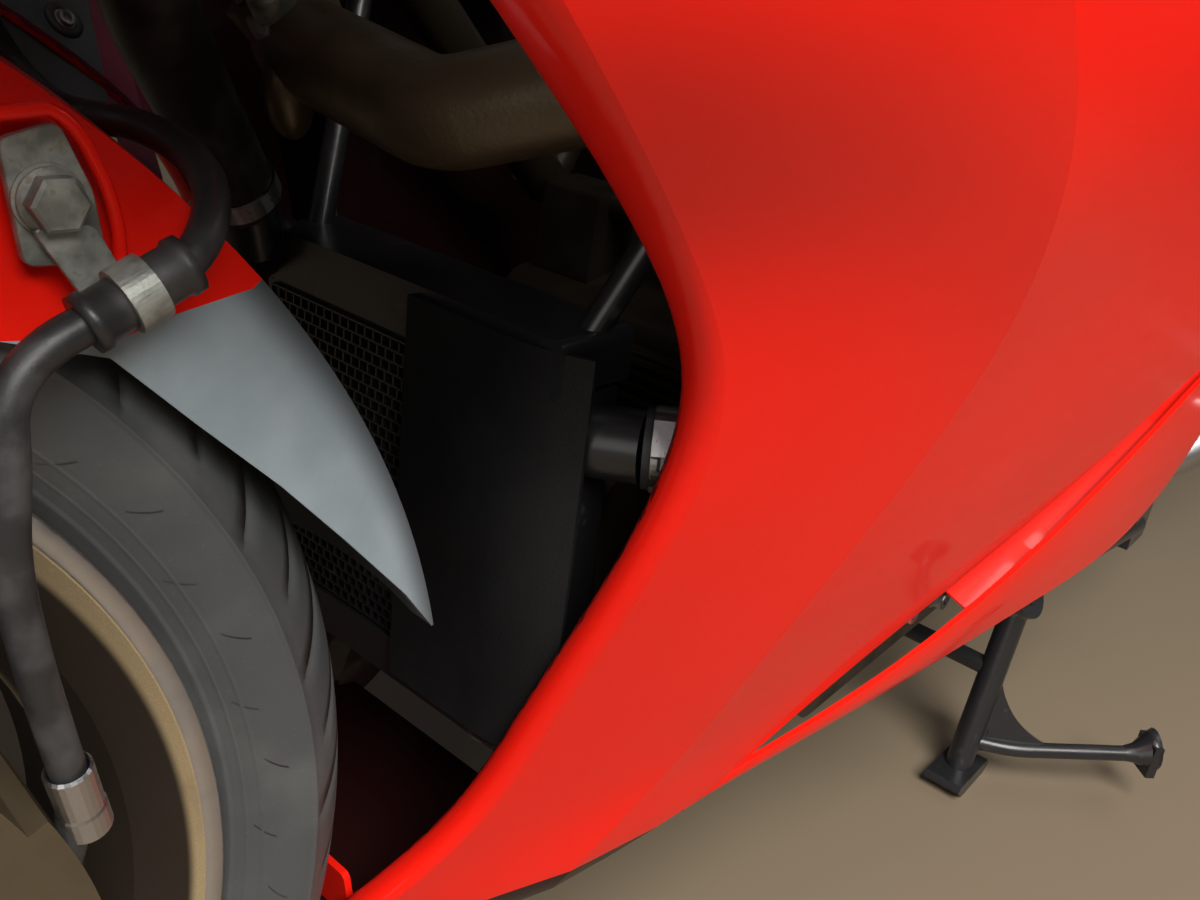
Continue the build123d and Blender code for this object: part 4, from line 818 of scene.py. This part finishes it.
def chain_mesh(bm, pins, middle_y):
    """Waisted side plates, inner and outer by turns, with rollers and pin heads."""
    plate_end, waist, thick = 0.0058, 0.0042, 0.0016
    for index, a in enumerate(pins):
        b = pins[(index + 1) % len(pins)]
        along = (b - a).normalized()
        across = Vector((-along.y, along.x))
        outline = [(a + b) / 2 + across * waist]
        for centre, first in ((a, 90), (b, 270)):
            for step in range(5):
                angle = math.radians(first + 45 * step)
                outline.append(centre + (along * math.cos(angle) + across * math.sin(angle)) * plate_end)
            if centre is a:
                outline.append((a + b) / 2 - across * waist)
        level = 0.0044 if index % 2 else 0.0059
        for side in (1, -1):
            rows = []
            for y in (middle_y + side * level, middle_y + side * (level + thick)):
                rows.append([Vector((p.x, y, p.y)) for p in outline])
            capped(bm, rows)
        pin = Vector((a.x, middle_y - 0.0078, a.y))
        lathe(bm, [(0, 0), (0.0024, 0.0002), (0.0024, 0.0154), (0, 0.0156)], facing((0, 1, 0), pin), 8)
        roller = Vector((a.x, middle_y - 0.0042, a.y))
        lathe(bm, [(0.0025, 0), (0.0049, 0), (0.0049, 0.0084), (0.0025, 0.0084)], facing((0, 1, 0), roller), 10)


# Stations of the seat: x, half width, base z, top z, drop to the shoulder
seat_stations = [
    (-64.3, 86, 786, 838, 10),
    (-180, 130, 770, 820, 10),
    (-330, 142, 772, 826, 10),
    (-400, 136, 782, 866, 12),
    (-540, 118, 800, 878, 12),
    (-650, 92, 812, 870, 12),
]


def along_stations(stations, share):
    """One station between the given ones, on a smooth line through all of them."""
    at = share * (len(stations) - 1)
    index = min(int(at), len(stations) - 2)
    t = at - index
    four = [stations[min(max(index + shift, 0), len(stations) - 1)] for shift in (-1, 0, 1, 2)]
    weights = (
        (-t + 2 * t * t - t**3) / 2,
        (2 - 5 * t * t + 3 * t**3) / 2,
        (t + 4 * t * t - 3 * t**3) / 2,
        (t**3 - t * t) / 2,
    )
    return [sum(weight * station[column] for weight, station in zip(weights, four)) for column in range(5)]


def seat_ring(x, half, low, high, shoulder, shrink):
    """Outline of the seat at one station: flat base, bowed sides that pull in at the seam, and a crowned top."""
    points = []
    for step in range(9):
        share = step / 8
        bow = math.sin(share * math.pi) * 4.0
        seam = 1.6 * math.exp(-(((1 - share) / 0.08) ** 2))
        y = half + (half * 0.74 - half) * share**2 + bow - seam
        points.append((y, low + (high - shoulder - low) * share))
    for step in range(1, 17):
        share = step / 16
        y = half * 0.74 * (1 - 2 * share)
        crown = shoulder * (1 - (1 - 2 * share) ** 2)
        edge = 1.8 * (math.exp(-((share / 0.05) ** 2)) + math.exp(-(((1 - share) / 0.05) ** 2)))
        points.append((y, high - shoulder + crown - edge))
    points += [(-y, z) for y, z in reversed(points[:8])]
    middle = (low + high) / 2
    return [Vector((x, y * shrink, middle + (z - middle) * shrink)) * MM for y, z in points]


def seat_mesh(bm):
    """The whole seat with three shallow sewn channels for the rider and three for the passenger."""
    rows = []
    count = 90
    for step in range(count + 1):
        share = step / count
        x, half, low, high, shoulder = along_stations(seat_stations, share)
        channel = sum(math.exp(-(((x - at) / 4.0) ** 2)) for at in (-130, -190, -250, -440, -500, -560))
        end = min(share, 1 - share) / 0.03
        shrink = 1.0 if end >= 1 else 0.93 + 0.07 * math.sqrt(max(0.0, 1 - (1 - end) ** 2))
        row = seat_ring(x, half, low, high, shoulder, shrink)
        row = [p - Vector((0, 0, 0.0022 * channel if p.z > (low + high) / 2 * MM else 0)) for p in row]
        rows.append(row)
    capped(bm, rows)


def shoulder_line(side, lift):
    """The seam between the seat's top and side, for its piping."""
    points = []
    for step in range(61):
        x, half, low, high, shoulder = along_stations(seat_stations, 0.03 + 0.94 * step / 60)
        points.append(Vector((x, side * half * 0.745, high - shoulder + lift)) * MM)
    return points


# Settings


class StageSettings(bpy.types.PropertyGroup):
    floor_colour: bpy.props.FloatVectorProperty(
        name="Floor colour",
        description="Colour of the plain floor",
        subtype="COLOR",
        size=3,
        default=(0.20, 0.155, 0.105),
    )
    key_power: bpy.props.FloatProperty(
        name="Key light", description="Power of the light over the left side", default=120.0, min=0.0, unit="POWER"
    )
    fill_power: bpy.props.FloatProperty(
        name="Fill light", description="Power of the lights in front and behind", default=9.0, min=0.0, unit="POWER"
    )


class PieceSettings(bpy.types.PropertyGroup):
    tread_pitches: bpy.props.IntProperty(
        name="Tread pitches", description="How often the tread pattern repeats around a tyre", default=26, min=6, max=60
    )
    guard_cell: bpy.props.FloatVectorProperty(
        name="Guard cell",
        description="Width and height of the radiator guard's cells",
        size=2,
        default=(0.0058, 0.0054),
        unit="LENGTH",
    )


# Operators


class MOTO_OT_stage(bpy.types.Operator):
    """Floor, light and the camera at the photo's angle"""

    bl_idname = "moto.stage"
    bl_label = "Stage"

    def execute(self, context):
        settings = context.scene.moto_stage
        scene = context.scene
        scene.view_settings.view_transform = "Standard"
        world = bpy.data.worlds.new("studio")
        scene.world = world
        world.use_nodes = True
        sky = world.node_tree.nodes["Background"]
        sky.inputs["Color"].default_value = sky_colour
        sky.inputs["Strength"].default_value = sky_strength
        camera = bpy.data.objects.new("camera", bpy.data.cameras.new("camera"))
        scene.collection.objects.link(camera)
        right, down, ahead = photo_axes
        camera.matrix_world = Matrix.Translation(photo_place) @ Matrix((right, -down, -ahead)).transposed().to_4x4()
        camera.data.sensor_width = photo_sensor
        camera.data.lens = photo_lens
        camera.data.clip_start = 0.01
        scene.camera = camera
        # Each light's name, place, target, size and power
        lights = [
            ("key", (0.9, 1.6, 2.3), (0.15, 0.15, 0.35), 1.6, settings.key_power),
            ("fill", (2.4, 0.9, 1.0), (0.3, 0.0, 0.4), 1.4, settings.fill_power),
            ("back", (-1.8, 1.2, 2.0), (-0.3, 0.0, 0.5), 1.2, settings.fill_power),
        ]
        for name, at, target, size, power in lights:
            light = bpy.data.lights.new(name, "AREA")
            light.size = size
            light.energy = power
            light.color = lamp_colour
            lamp = bpy.data.objects.new(name, light)
            scene.collection.objects.link(lamp)
            lamp.matrix_world = facing(Vector(at) - Vector(target), Vector(at))
        bm = bmesh.new()
        bmesh.ops.create_grid(bm, x_segments=1, y_segments=1, size=floor_reach)
        floor = bpy.data.objects.new("floor", mesh_of(bm, "floor"))
        scene.collection.objects.link(floor)
        recipe = Recipe("floor", tuple(settings.floor_colour), 0.55)
        recipe.varied(0.97, 1.03, 1.5)
        recipe.bump(recipe.noise(60.0, 3.0), 0.0001)
        floor.data.materials.append(recipe.material)
        return {"FINISHED"}


class MOTO_OT_finishes(bpy.types.Operator):
    """Gives every CAD node the material of its slot"""

    bl_idname = "moto.finishes"
    bl_label = "Finishes"

    def execute(self, context):
        for part in frame["record"]["subparts"]:
            node = frame["nodes"][part["node"]]
            node.data.materials.clear()
            node.data.materials.append(paint(part["material_slot"]))
        return {"FINISHED"}


class MOTO_OT_tyres(bpy.types.Operator):
    """Both tyres with their tread"""

    bl_idname = "moto.tyres"
    bl_label = "Tyres"

    def execute(self, context):
        pitches = context.scene.moto_pieces.tread_pitches
        for make in (tyre, tyre_ticks):
            for wheel, centre, radius, width, inside, _ in wheels:
                make(wheel, centre, radius, width, inside, pitches)
        return {"FINISHED"}


class MOTO_OT_hoses(bpy.types.Operator):
    """Brake and coolant hoses with their clamps"""

    bl_idname = "moto.hoses"
    bl_label = "Hoses"

    def execute(self, context):
        for side, route in (("left", left_brake_hose), ("right", right_brake_hose)):
            turned = [parked @ point for point in route]
            hose(f"brake_hose_{side}", "steering", "brake_hoses", turned, brake_hose_radius)
        bm = bmesh.new()
        for level, route, width in (("upper", upper_hose, 0.010), ("lower", lower_hose, 0.012)):
            hose(f"coolant_hose_{level}", "chassis", "coolant_hoses", route, coolant_hose_radius)
            band_clamp(bm, route, width, coolant_hose_radius + 0.0002)
        finished("hose_clamps", "chassis", "steel", bm, smooth=False)
        return {"FINISHED"}


class MOTO_OT_hose_bracket(bpy.types.Operator):
    """Plate, flange bolt and P-clip that hold the brake hose on the mudguard"""

    bl_idname = "moto.hose_bracket"
    bl_label = "Hose bracket"

    def execute(self, context):
        # Plate with its washer, bolt and shank
        out = (0, 1, 0)
        bm = bmesh.new()
        plate(bm, place([(560, 72, 551), (546, 72, 555), (539, 72, 538), (537, 72, 520), (557, 72, 521)]), 0.003, 0.003)
        at, over, shank = place([(550, 75, 537), (550, 76.6, 537), (550, 61, 537)])
        lathe(bm, [(0, 0), (0.0088, 0), (0.0088, 0.001), (0.004, 0.0016)], facing(out, at), 40)
        flange_bolt(bm, over, out, 0.0125, 0.0075, 1.3)
        lathe(bm, [(0.0045, 0), (0.0045, 0.012)], facing(out, shank), 20)
        # Rounded bead along the edge of the mudguard's pocket
        rim = place([(564, 72.6, 556), (545, 72.6, 560), (534, 72.6, 539), (532, 72.6, 516), (540, 72.6, 512)])
        bead = bmesh.new()
        smooth = [rim[0]]
        for index in range(1, len(rim) - 1):
            first, last = (rim[index - 1] + rim[index]) / 2, (rim[index] + rim[index + 1]) / 2
            smooth += [first.lerp(rim[index], t).lerp(rim[index].lerp(last, t), t) for t in (0.4, 0.6, 0.8, 1.0)]
        tube(bead, smooth, 0.0019, 10)
        finished("bracket_pocket", "steering", "red_paint", bead)
        finished("bracket_plate", "steering", "steel", bm, ["hose_bracket"], smooth=False, finish="galvanised")
        # Strap, lug and rubber sleeve of the clip
        start, end = place([(532.5, 90, 517.9), (540.7, 90, 514)])
        along = (end - start).normalized()
        middle = (start + end) / 2
        bm = bmesh.new()
        inner, outer, half = 0.0070, 0.0088, 0.0043
        strap = [(inner, -half), (outer, -half), (outer, half), (inner, half), (inner, -half)]
        lathe(bm, strap, facing(along, middle), 48)
        plate(bm, place([(556, 76.6, 531), (541, 76.6, 531), (532, 76.6, 512), (543, 76.6, 509)]), 0.0022, 0.003)
        finished("hose_clip", "steering", "steel", bm, smooth=False, finish="galvanised")
        bm = bmesh.new()
        sleeve = [(0.0049, -0.0150), (0.0078, -0.0150), (0.0080, -0.0120), (0.0071, -0.0112)]
        sleeve += [(r, -h) for r, h in reversed(sleeve)]
        lathe(bm, sleeve, facing(along, middle), 48)
        finished("clip_sleeve", "steering", "black_rubber", bm)
        # Crimped collars above the calipers
        collar = [(0.0050, -0.006), (0.0070, -0.006), (0.0070, 0.002), (0.0066, 0.003)]
        collar += [(0.0067, 0.018), (0.0060, 0.019), (0.0054, 0.018)]
        bm = bmesh.new()
        for route in (left_brake_hose, right_brake_hose):
            before, end = route[-3:-1]
            lathe(bm, collar, facing((before - end).normalized(), end), 24)
        finished("hose_fittings", "steering", "steel", bm, smooth=False)
        return {"FINISHED"}


class MOTO_OT_radiator_guard(bpy.types.Operator):
    """Wire guard in front of the radiator's core"""

    bl_idname = "moto.radiator_guard"
    bl_label = "Radiator guard"

    def execute(self, context):
        low, high = (-0.090, 0.302), (0.010, 0.450)
        bm = bmesh.new()
        lattice(bm, low, high, context.scene.moto_pieces.guard_cell, bar=0.0009, x=0.3785)
        finished("radiator_guard", "chassis", "black_paint", bm, smooth=False)
        return {"FINISHED"}


class MOTO_OT_drive(bpy.types.Operator):
    """Chain with its links, and the shock absorber inside its coil spring"""

    bl_idname = "moto.drive"
    bl_label = "Drive and spring"

    def execute(self, context):
        front, rear = Vector((-0.150, 0.345)), Vector((rear_axle.x, rear_axle.z))
        pins = chain_pins(front, front_sprocket, rear, rear_sprocket, chain_pitch)
        bm = bmesh.new()
        chain_mesh(bm, pins, chain_line)
        finished("chain_links", "chassis", "steel", bm, ["chain"], smooth=False)
        foot, top = place([(-297, 0, 382), (-150, 0, 630)])
        line = (top - foot).normalized()
        length = (top - foot).length
        bm = bmesh.new()
        body = [(0, 0.002), (0.0195, 0.002), (0.0195, 0.040), (0.031, 0.040), (0.031, 0.050), (0.022, 0.052)]
        body += [(0.0195, 0.052), (0.0195, length * 0.55), (0.008, length * 0.56), (0.008, length - 0.044)]
        body += [(0.031, length - 0.042), (0.031, length - 0.031), (0.019, length - 0.029)]
        body += [(0.019, length), (0, length)]
        lathe(bm, body, facing(line, foot), 40)
        for middle, radius, half in ((Vector((foot.x, 0, foot.z + 0.004)), 0.015, 0.014), (top, 0.0165, 0.012)):
            eye = [(0, -half), (radius, -half), (radius, half), (0, half)]
            lathe(bm, eye, facing((0, 1, 0), middle), 28)
        for share in (0.2, 0.8):
            hanger = top.lerp(Vector((-0.090, 0, 0.700)), share)
            lathe(bm, [(0, -0.03), (0.012, -0.03), (0.012, 0.03), (0, 0.03)], facing((0.65, 0, 0.76), hanger), 20)
        finished("shock_body", "chassis", "steel", bm, ["shock"], smooth=False)
        bm = bmesh.new()
        coil(bm, foot + line * 0.056, top - line * 0.048, 0.0255, 0.0050, 7)
        finished("shock_spring", "chassis", "black_paint", bm)
        return {"FINISHED"}


class MOTO_OT_brake_discs(bpy.types.Operator):
    """Drilled holes of the brake discs as flat black discs of painted shade, their rivets, and lips and valves of the
    rims
    """

    bl_idname = "moto.brake_discs"
    bl_label = "Discs and rims"

    def execute(self, context):
        # Each drilled hole is a flat black disc on the disc's face: painted shade where the hole is
        hole = [(0, 0.0001), (0.0028, 0.0001)]
        rivet = [(0.0035, 0.0), (0.0035, 0.0012), (0.0078, 0.0012), (0.0078, 0)]
        hole_shade_discs = bmesh.new()
        rivets = bmesh.new()
        for side in (1, -1):
            face = front_axle + Vector((0, side * 0.06655, 0))
            for radius, shift in ((0.134, 0.0), (0.144, 0.5), (0.153, 0.0)):
                ring_of(hole_shade_discs, face, (0, side, 0), radius, 30, shift, hole, 12)
            ring_of(rivets, face, (0, side, 0), 0.1215, 10, 0.0, rivet, 20)
        finished("front_disc_hole_shades", "front_wheel", "black_paint", hole_shade_discs)
        finished("front_disc_rivets", "front_wheel", "steel", rivets, smooth=False)
        hole_shade_discs = bmesh.new()
        face = rear_axle + Vector((0, -0.08255, 0))
        for radius, shift in ((0.096, 0.0), (0.106, 0.5), (0.115, 0.0)):
            ring_of(hole_shade_discs, face, (0, -1, 0), radius, 24, shift, hole, 12)
        finished("rear_disc_hole_shades", "rear_wheel", "black_paint", hole_shade_discs)
        for wheel, centre, _, _, _, half in wheels:
            bm = bmesh.new()
            for side in (1, -1):
                lip = [(0.2245, 0.0), (0.2255, 0.0006), (0.2305, 0.0008), (0.2312, 0.0002), (0.2312, -0.004)]
                lathe(bm, lip, facing((0, side, 0), centre + Vector((0, side * half, 0))), 160)
            finished(f"{wheel}_rim_lip", f"{wheel}_wheel", "raw_aluminium", bm)
            bm = bmesh.new()
            stem = [(0, 0), (0.0042, 0), (0.0042, 0.012), (0.0028, 0.014), (0.0028, 0.030), (0.0036, 0.031)]
            stem += [(0.0036, 0.038), (0, 0.038)]
            lathe(bm, stem, facing((-0.9, 0.35, 0), centre + Vector((0.194, 0.012, 0))), 16)
            finished(f"{wheel}_valve", f"{wheel}_wheel", "black_rubber", bm)
        return {"FINISHED"}


class MOTO_OT_seat(bpy.types.Operator):
    """Covered seat with sewn channels and piping"""

    bl_idname = "moto.seat"
    bl_label = "Seat"

    def execute(self, context):
        bm = bmesh.new()
        seat_mesh(bm)
        piece = finished("seat_pad", "chassis", "seat_cover", bm, ["seat"])
        bm = bmesh.new()
        for side in (1, -1):
            tube(bm, shoulder_line(side, -0.2), 0.0021, 8)
        finished("seat_piping", "chassis", "black_rubber", bm)
        return {"FINISHED"}


class MOTO_OT_fasteners(bpy.types.Operator):
    """Bolts on the engine's covers, the frame, the calipers and the casting in front of the radiator"""

    bl_idname = "moto.fasteners"
    bl_label = "Fasteners"

    def execute(self, context):
        cap = [(0, 0.005), (0.0035, 0.005), (0.0035, 0.0075), (0.0062, 0.0075), (0.0066, 0.007), (0.0066, 0.0008)]
        cap += [(0.0085, 0.0)]
        # Each engine cover's middle, side, and the radius and number of its bolts
        covers = [((60, 146, 325), 1, 0.066, 8), ((40, -148, 318), -1, 0.072, 9), ((-20, -150, 400), -1, 0.034, 5)]
        bm = bmesh.new()
        for middle, side, radius, count in covers:
            ring_of(bm, Vector(middle) * MM, (0, side, 0), radius, count, 0.25, cap, 16)
        finished("cover_bolts", "chassis", "steel", bm, smooth=False)
        # Large and small cap of the casting in front of the radiator
        large = [(0, 0.010), (0.0062, 0.010), (0.0062, 0.016), (0.0108, 0.016), (0.0116, 0.0145), (0.0116, 0.0)]
        large += [(0.0135, -0.001)]
        small = [(0, 0.009), (0.0052, 0.009), (0.0052, 0.0145), (0.0084, 0.0145), (0.0091, 0.0132), (0.0091, 0.002)]
        small += [(0.0125, 0.001), (0.0125, -0.004)]
        bm = bmesh.new()
        start, end = place([(402, -66, 580), (406, -68, 585)])
        lathe(bm, large, facing(end - start, end), 40)
        start, end = place([(404, -50, 572), (410.2, -47, 579.2)])
        lathe(bm, small, facing(end - start, start), 40)
        finished("carrier_bolt", "chassis", "steel", bm, smooth=False, finish="galvanised")
        # Button bolts along the edges of the side panels, out of the photo's view
        button = [(0, 0.0012), (0.0020, 0.0012), (0.0022, 0.0026), (0.0045, 0.0024), (0.0062, 0.0012), (0.0068, -0.001)]
        bm = bmesh.new()
        for side, node in ((1, "side_fairing_left"), (-1, "side_fairing_right")):
            panel = frame["nodes"][node]
            for x, z in ((-176, 655), (-196, 560), (-214, 470), (40, 712), (-110, 706)):
                hit, at, normal, _ = panel.ray_cast(Vector((x * MM, side * 0.5, z * MM)), Vector((0, -side, 0)))
                if hit:
                    lathe(bm, button, facing(normal, at), 24)
        finished("panel_bolts", "chassis", "black_paint", bm, smooth=False)
        bm = bmesh.new()
        for side in (1, -1):
            for x, y, z in ((150, 143, 470), (-130, 143, 470), (-205, 143, 395), (215, 137, 770)):
                flange_bolt(bm, Vector((x, side * y, z)) * MM, (0, side, 0), 0.017, 0.010)
        finished("frame_bolts", "chassis", "steel", bm, smooth=False)
        bm = bmesh.new()
        for side in (1, -1):
            for turn in (math.radians(156), math.radians(178)):
                at = front_axle + Vector((0.118 * math.cos(turn), side * 0.0928, 0.118 * math.sin(turn)))
                flange_bolt(bm, at, (0, side, 0), 0.012, 0.009, 1.3, 0.45)
        finished("caliper_bolts", "steering", "steel", bm, smooth=False)
        return {"FINISHED"}


class MOTO_OT_inner_trim(bpy.types.Operator):
    """Grey moulding inside the right panel with its bolt, and the lobe of the casting below the cap bolt"""

    bl_idname = "moto.inner_trim"
    bl_label = "Inner trim"

    def execute(self, context):
        corners = [(470.2, -191.9, 580.0), (408.4, -195.7, 564.4), (419.6, -157.9, 518.9)]
        corners += [(442.0, -151.3, 517.8), (480.1, -172.7, 558.4)]
        normal = Vector((-0.2, 0.78, 0.6)).normalized()
        bm = bmesh.new()
        plate(bm, place(corners), 0.0016, 0.004, normal)
        finished("inner_moulding", "chassis", "black_plastic", bm, smooth=False, finish="panel_grey")
        # The panel's return edge takes the shaded red: painted shade
        edge = [(408.4, -195.7, 564.4), (396.0, -199.0, 564.6), (405.7, -136.1, 485.9)]
        edge += [(422.0, -140.7, 497.3), (419.6, -157.9, 518.9)]
        bm = bmesh.new()
        plate(bm, place(edge), 0.0012, 0.004, -normal)
        finished("inner_return", "chassis", "red_paint", bm, smooth=False, finish="shaded_inner_red")
        spot = place([(427.1, -180.5, 550.8)])[0] + normal * 0.0016
        bm = bmesh.new()
        grommet = [(0.0048, 0.0002), (0.0050, 0.0016), (0.0078, 0.0018), (0.0088, 0.0008), (0.0090, 0)]
        lathe(bm, grommet, facing(normal, spot), 32)
        finished("inner_grommet", "chassis", "black_rubber", bm)
        bm = bmesh.new()
        head = [(0, 0.0012), (0.0020, 0.0012), (0.0022, 0.0030), (0.0036, 0.0032), (0.0040, 0.0022)]
        head += [(0.0041, 0.0012), (0.0053, 0.0010), (0.0053, 0)]
        lathe(bm, head, facing(normal, spot), 32)
        finished("inner_bolt", "chassis", "steel", bm, smooth=False)
        bm = bmesh.new()
        shape = Matrix.Translation((0.4025, -0.0450, 0.5405)) @ Matrix.Rotation(0.25, 4, "Y")
        shape = shape @ Matrix.Diagonal((0.0105, 0.0085, 0.0170, 1))
        bmesh.ops.create_uvsphere(bm, u_segments=28, v_segments=18, radius=1, matrix=shape)
        finished("casting_lobe", "chassis", "engine_bronze", bm)
        return {"FINISHED"}


class MOTO_OT_centre_stand(bpy.types.Operator):
    """Concave gusset and flared pad of the centre stand's foot tang"""

    bl_idname = "moto.centre_stand"
    bl_label = "Centre stand"

    def execute(self, context):
        top, foot, elbow, tip = place([(-190, 140, 190), (-146, 143, 10), (-168, 175, 36), (-246, 263, 44)])
        root = top.lerp(foot, 0.86)
        high = top.lerp(foot, 0.40)
        out = elbow.lerp(tip, 0.35)
        across = (foot - top).cross(tip - root).normalized()
        web = [high, root, elbow, out]
        for step in range(1, 12):
            share = step / 12
            pull = root.lerp((high + out) / 2, 0.42)
            web.append(out * (1 - share) ** 2 + pull * 2 * share * (1 - share) + high * share**2)
        bm = bmesh.new()
        capped(bm, [[point + across * level for point in web] for level in (-0.0025, 0.0025)])
        hole = root.lerp((high + out) / 2, 0.25)
        for side in (1, -1):
            eyelet = [(0.0036, 0.0024), (0.0036, 0.0034), (0.0052, 0.0034), (0.0056, 0.0024)]
            lathe(bm, eyelet, facing(across * side, hole), 20)
        finished("stand_gusset", "centre_stand", "black_paint", bm, smooth=False)
        bm = bmesh.new()
        along = (tip - elbow).normalized()
        flare = facing(along, tip - along * 0.022)
        rows = []
        for height, wide, tall, lift in (
            (0.0, 0.0062, 0.0062, 0.0),
            (0.010, 0.0080, 0.0085, 0.001),
            (0.020, 0.0135, 0.0150, 0.004),
            (0.026, 0.0150, 0.0175, 0.006),
        ):
            rows.append([point + Vector((0, 0, lift)) for point in ring(flare, wide, 20, height, tall)])
        made = grid(bm, rows, closed_across=True)
        bm.faces.new(made[-1])
        finished("stand_pad", "centre_stand", "black_paint", bm)
        return {"FINISHED"}


class MOTO_OT_cockpit(bpy.types.Operator):
    """Lamp reflectors, dials, mirror glass and tank cap"""

    bl_idname = "moto.cockpit"
    bl_label = "Lamp, dials, mirrors and cap"

    def execute(self, context):
        bowl = [(0.0345 * step / 10, 0.022 * (step / 10) ** 2) for step in range(11)]
        bulb = [(0, 0.004), (0.006, 0.004), (0.006, 0.012), (0, 0.014)]
        bm = bmesh.new()
        for side in (1, -1):
            lamp = facing((1, 0, 0), Vector((0.7665, side * 0.046, 0.790)))
            lathe(bm, bowl, lamp, 40)
            lathe(bm, bulb, lamp, 20)
        finished("lamp_reflectors", "chassis", "fork_silver", bm)
        bm = bmesh.new()
        dark = bmesh.new()
        for side in (1, -1):
            face = facing((-1, 0, 0), Vector((0.5600, side * 0.050, 0.946)))
            lathe(bm, [(0.029, 0.0), (0.029, 0.004), (0.032, 0.005), (0.034, 0.003), (0.034, 0.0)], face, 40)
            lathe(dark, [(0, 0.0008), (0.029, 0.0008)], face, 40)
            lathe(bm, [(0, 0.003), (0.0035, 0.003), (0.004, 0.0008)], face, 20)
            for mark in range(11):
                turn = math.radians(-30 + 24 * mark)
                spot = face @ Matrix.Rotation(turn, 4, "Z") @ Matrix.Translation((0.0245, 0, 0.0012))
                box(bm, spot, (0.005, 0.0009, 0.0004))
            needle = face @ Matrix.Rotation(math.radians(-30), 4, "Z") @ Matrix.Translation((0.011, 0, 0.0024))
            box(bm, needle, (0.022, 0.0012, 0.0006))
        finished("dial_rims", "chassis", "raw_aluminium", bm, smooth=False)
        finished("dial_faces", "chassis", "black_plastic", dark, smooth=False)
        bm = bmesh.new()
        for side in (1, -1):
            corners = [(573, side * y, z) for y, z in ((300, 987), (434, 987), (434, 1057), (300, 1057))]
            plate(bm, place(corners), 0.0006, 0.016, (-1, 0, 0))
        lid = [(0.030, 0.0), (0.041, 0.0), (0.041, 0.003), (0.038, 0.005), (0.031, 0.005), (0.029, 0.0042)]
        lid += [(0.012, 0.0042), (0.011, 0.0055), (0.0, 0.0055)]
        cap = bmesh.new()
        lathe(cap, lid, facing((0.08, 0, 1), Vector((0.165, 0, 0.9595))), 48)
        finished("tank_cap", "chassis", "raw_aluminium", cap, smooth=False)
        finished("mirror_glass", "chassis", "fork_silver", bm, smooth=False)
        return {"FINISHED"}


class MOTO_PT_panel(bpy.types.Panel):
    """Buttons for the pieces, in the order that they are built"""

    bl_label = "Motorcycle"
    bl_space_type = "VIEW_3D"
    bl_region_type = "UI"
    bl_category = "Motorcycle"

    def draw(self, context):
        for group in (context.scene.moto_stage, context.scene.moto_pieces):
            for name in group.bl_rna.properties.keys():
                if name not in ("rna_type", "name"):
                    self.layout.prop(group, name)
        for operator in operators:
            self.layout.operator(operator.bl_idname)


sky_colour = (0.80, 0.83, 0.88, 1)
sky_strength = 0.10
lamp_colour = (1.0, 0.97, 0.92)
floor_reach = 30.0
# The photo's camera: lens and sensor in mm, place, and the directions right, down and ahead in its picture
photo_lens = 33.24
photo_sensor = 36.0
photo_place = Vector((0.67697, 0.34665, 0.61003))
photo_axes = (
    Vector((-0.6476, 0.7525, 0.1201)),
    Vector((0.2415, 0.3522, -0.9042)),
    Vector((-0.7227, -0.5565, -0.4098)),
)
operators = [
    MOTO_OT_stage,
    MOTO_OT_finishes,
    MOTO_OT_tyres,
    MOTO_OT_hoses,
    MOTO_OT_hose_bracket,
    MOTO_OT_radiator_guard,
    MOTO_OT_drive,
    MOTO_OT_brake_discs,
    MOTO_OT_seat,
    MOTO_OT_fasteners,
    MOTO_OT_inner_trim,
    MOTO_OT_centre_stand,
    MOTO_OT_cockpit,
]
classes = [StageSettings, PieceSettings, *operators, MOTO_PT_panel]


def register():
    for item in classes:
        bpy.utils.register_class(item)
    bpy.types.Scene.moto_stage = bpy.props.PointerProperty(type=StageSettings)
    bpy.types.Scene.moto_pieces = bpy.props.PointerProperty(type=PieceSettings)


def unregister():
    del bpy.types.Scene.moto_pieces
    del bpy.types.Scene.moto_stage
    for item in reversed(classes):
        bpy.utils.unregister_class(item)


def main():
    register()
    for operator in operators:
        area, name = operator.bl_idname.split(".")
        getattr(getattr(bpy.ops, area), name)()


if __name__ == "__main__":
    main()
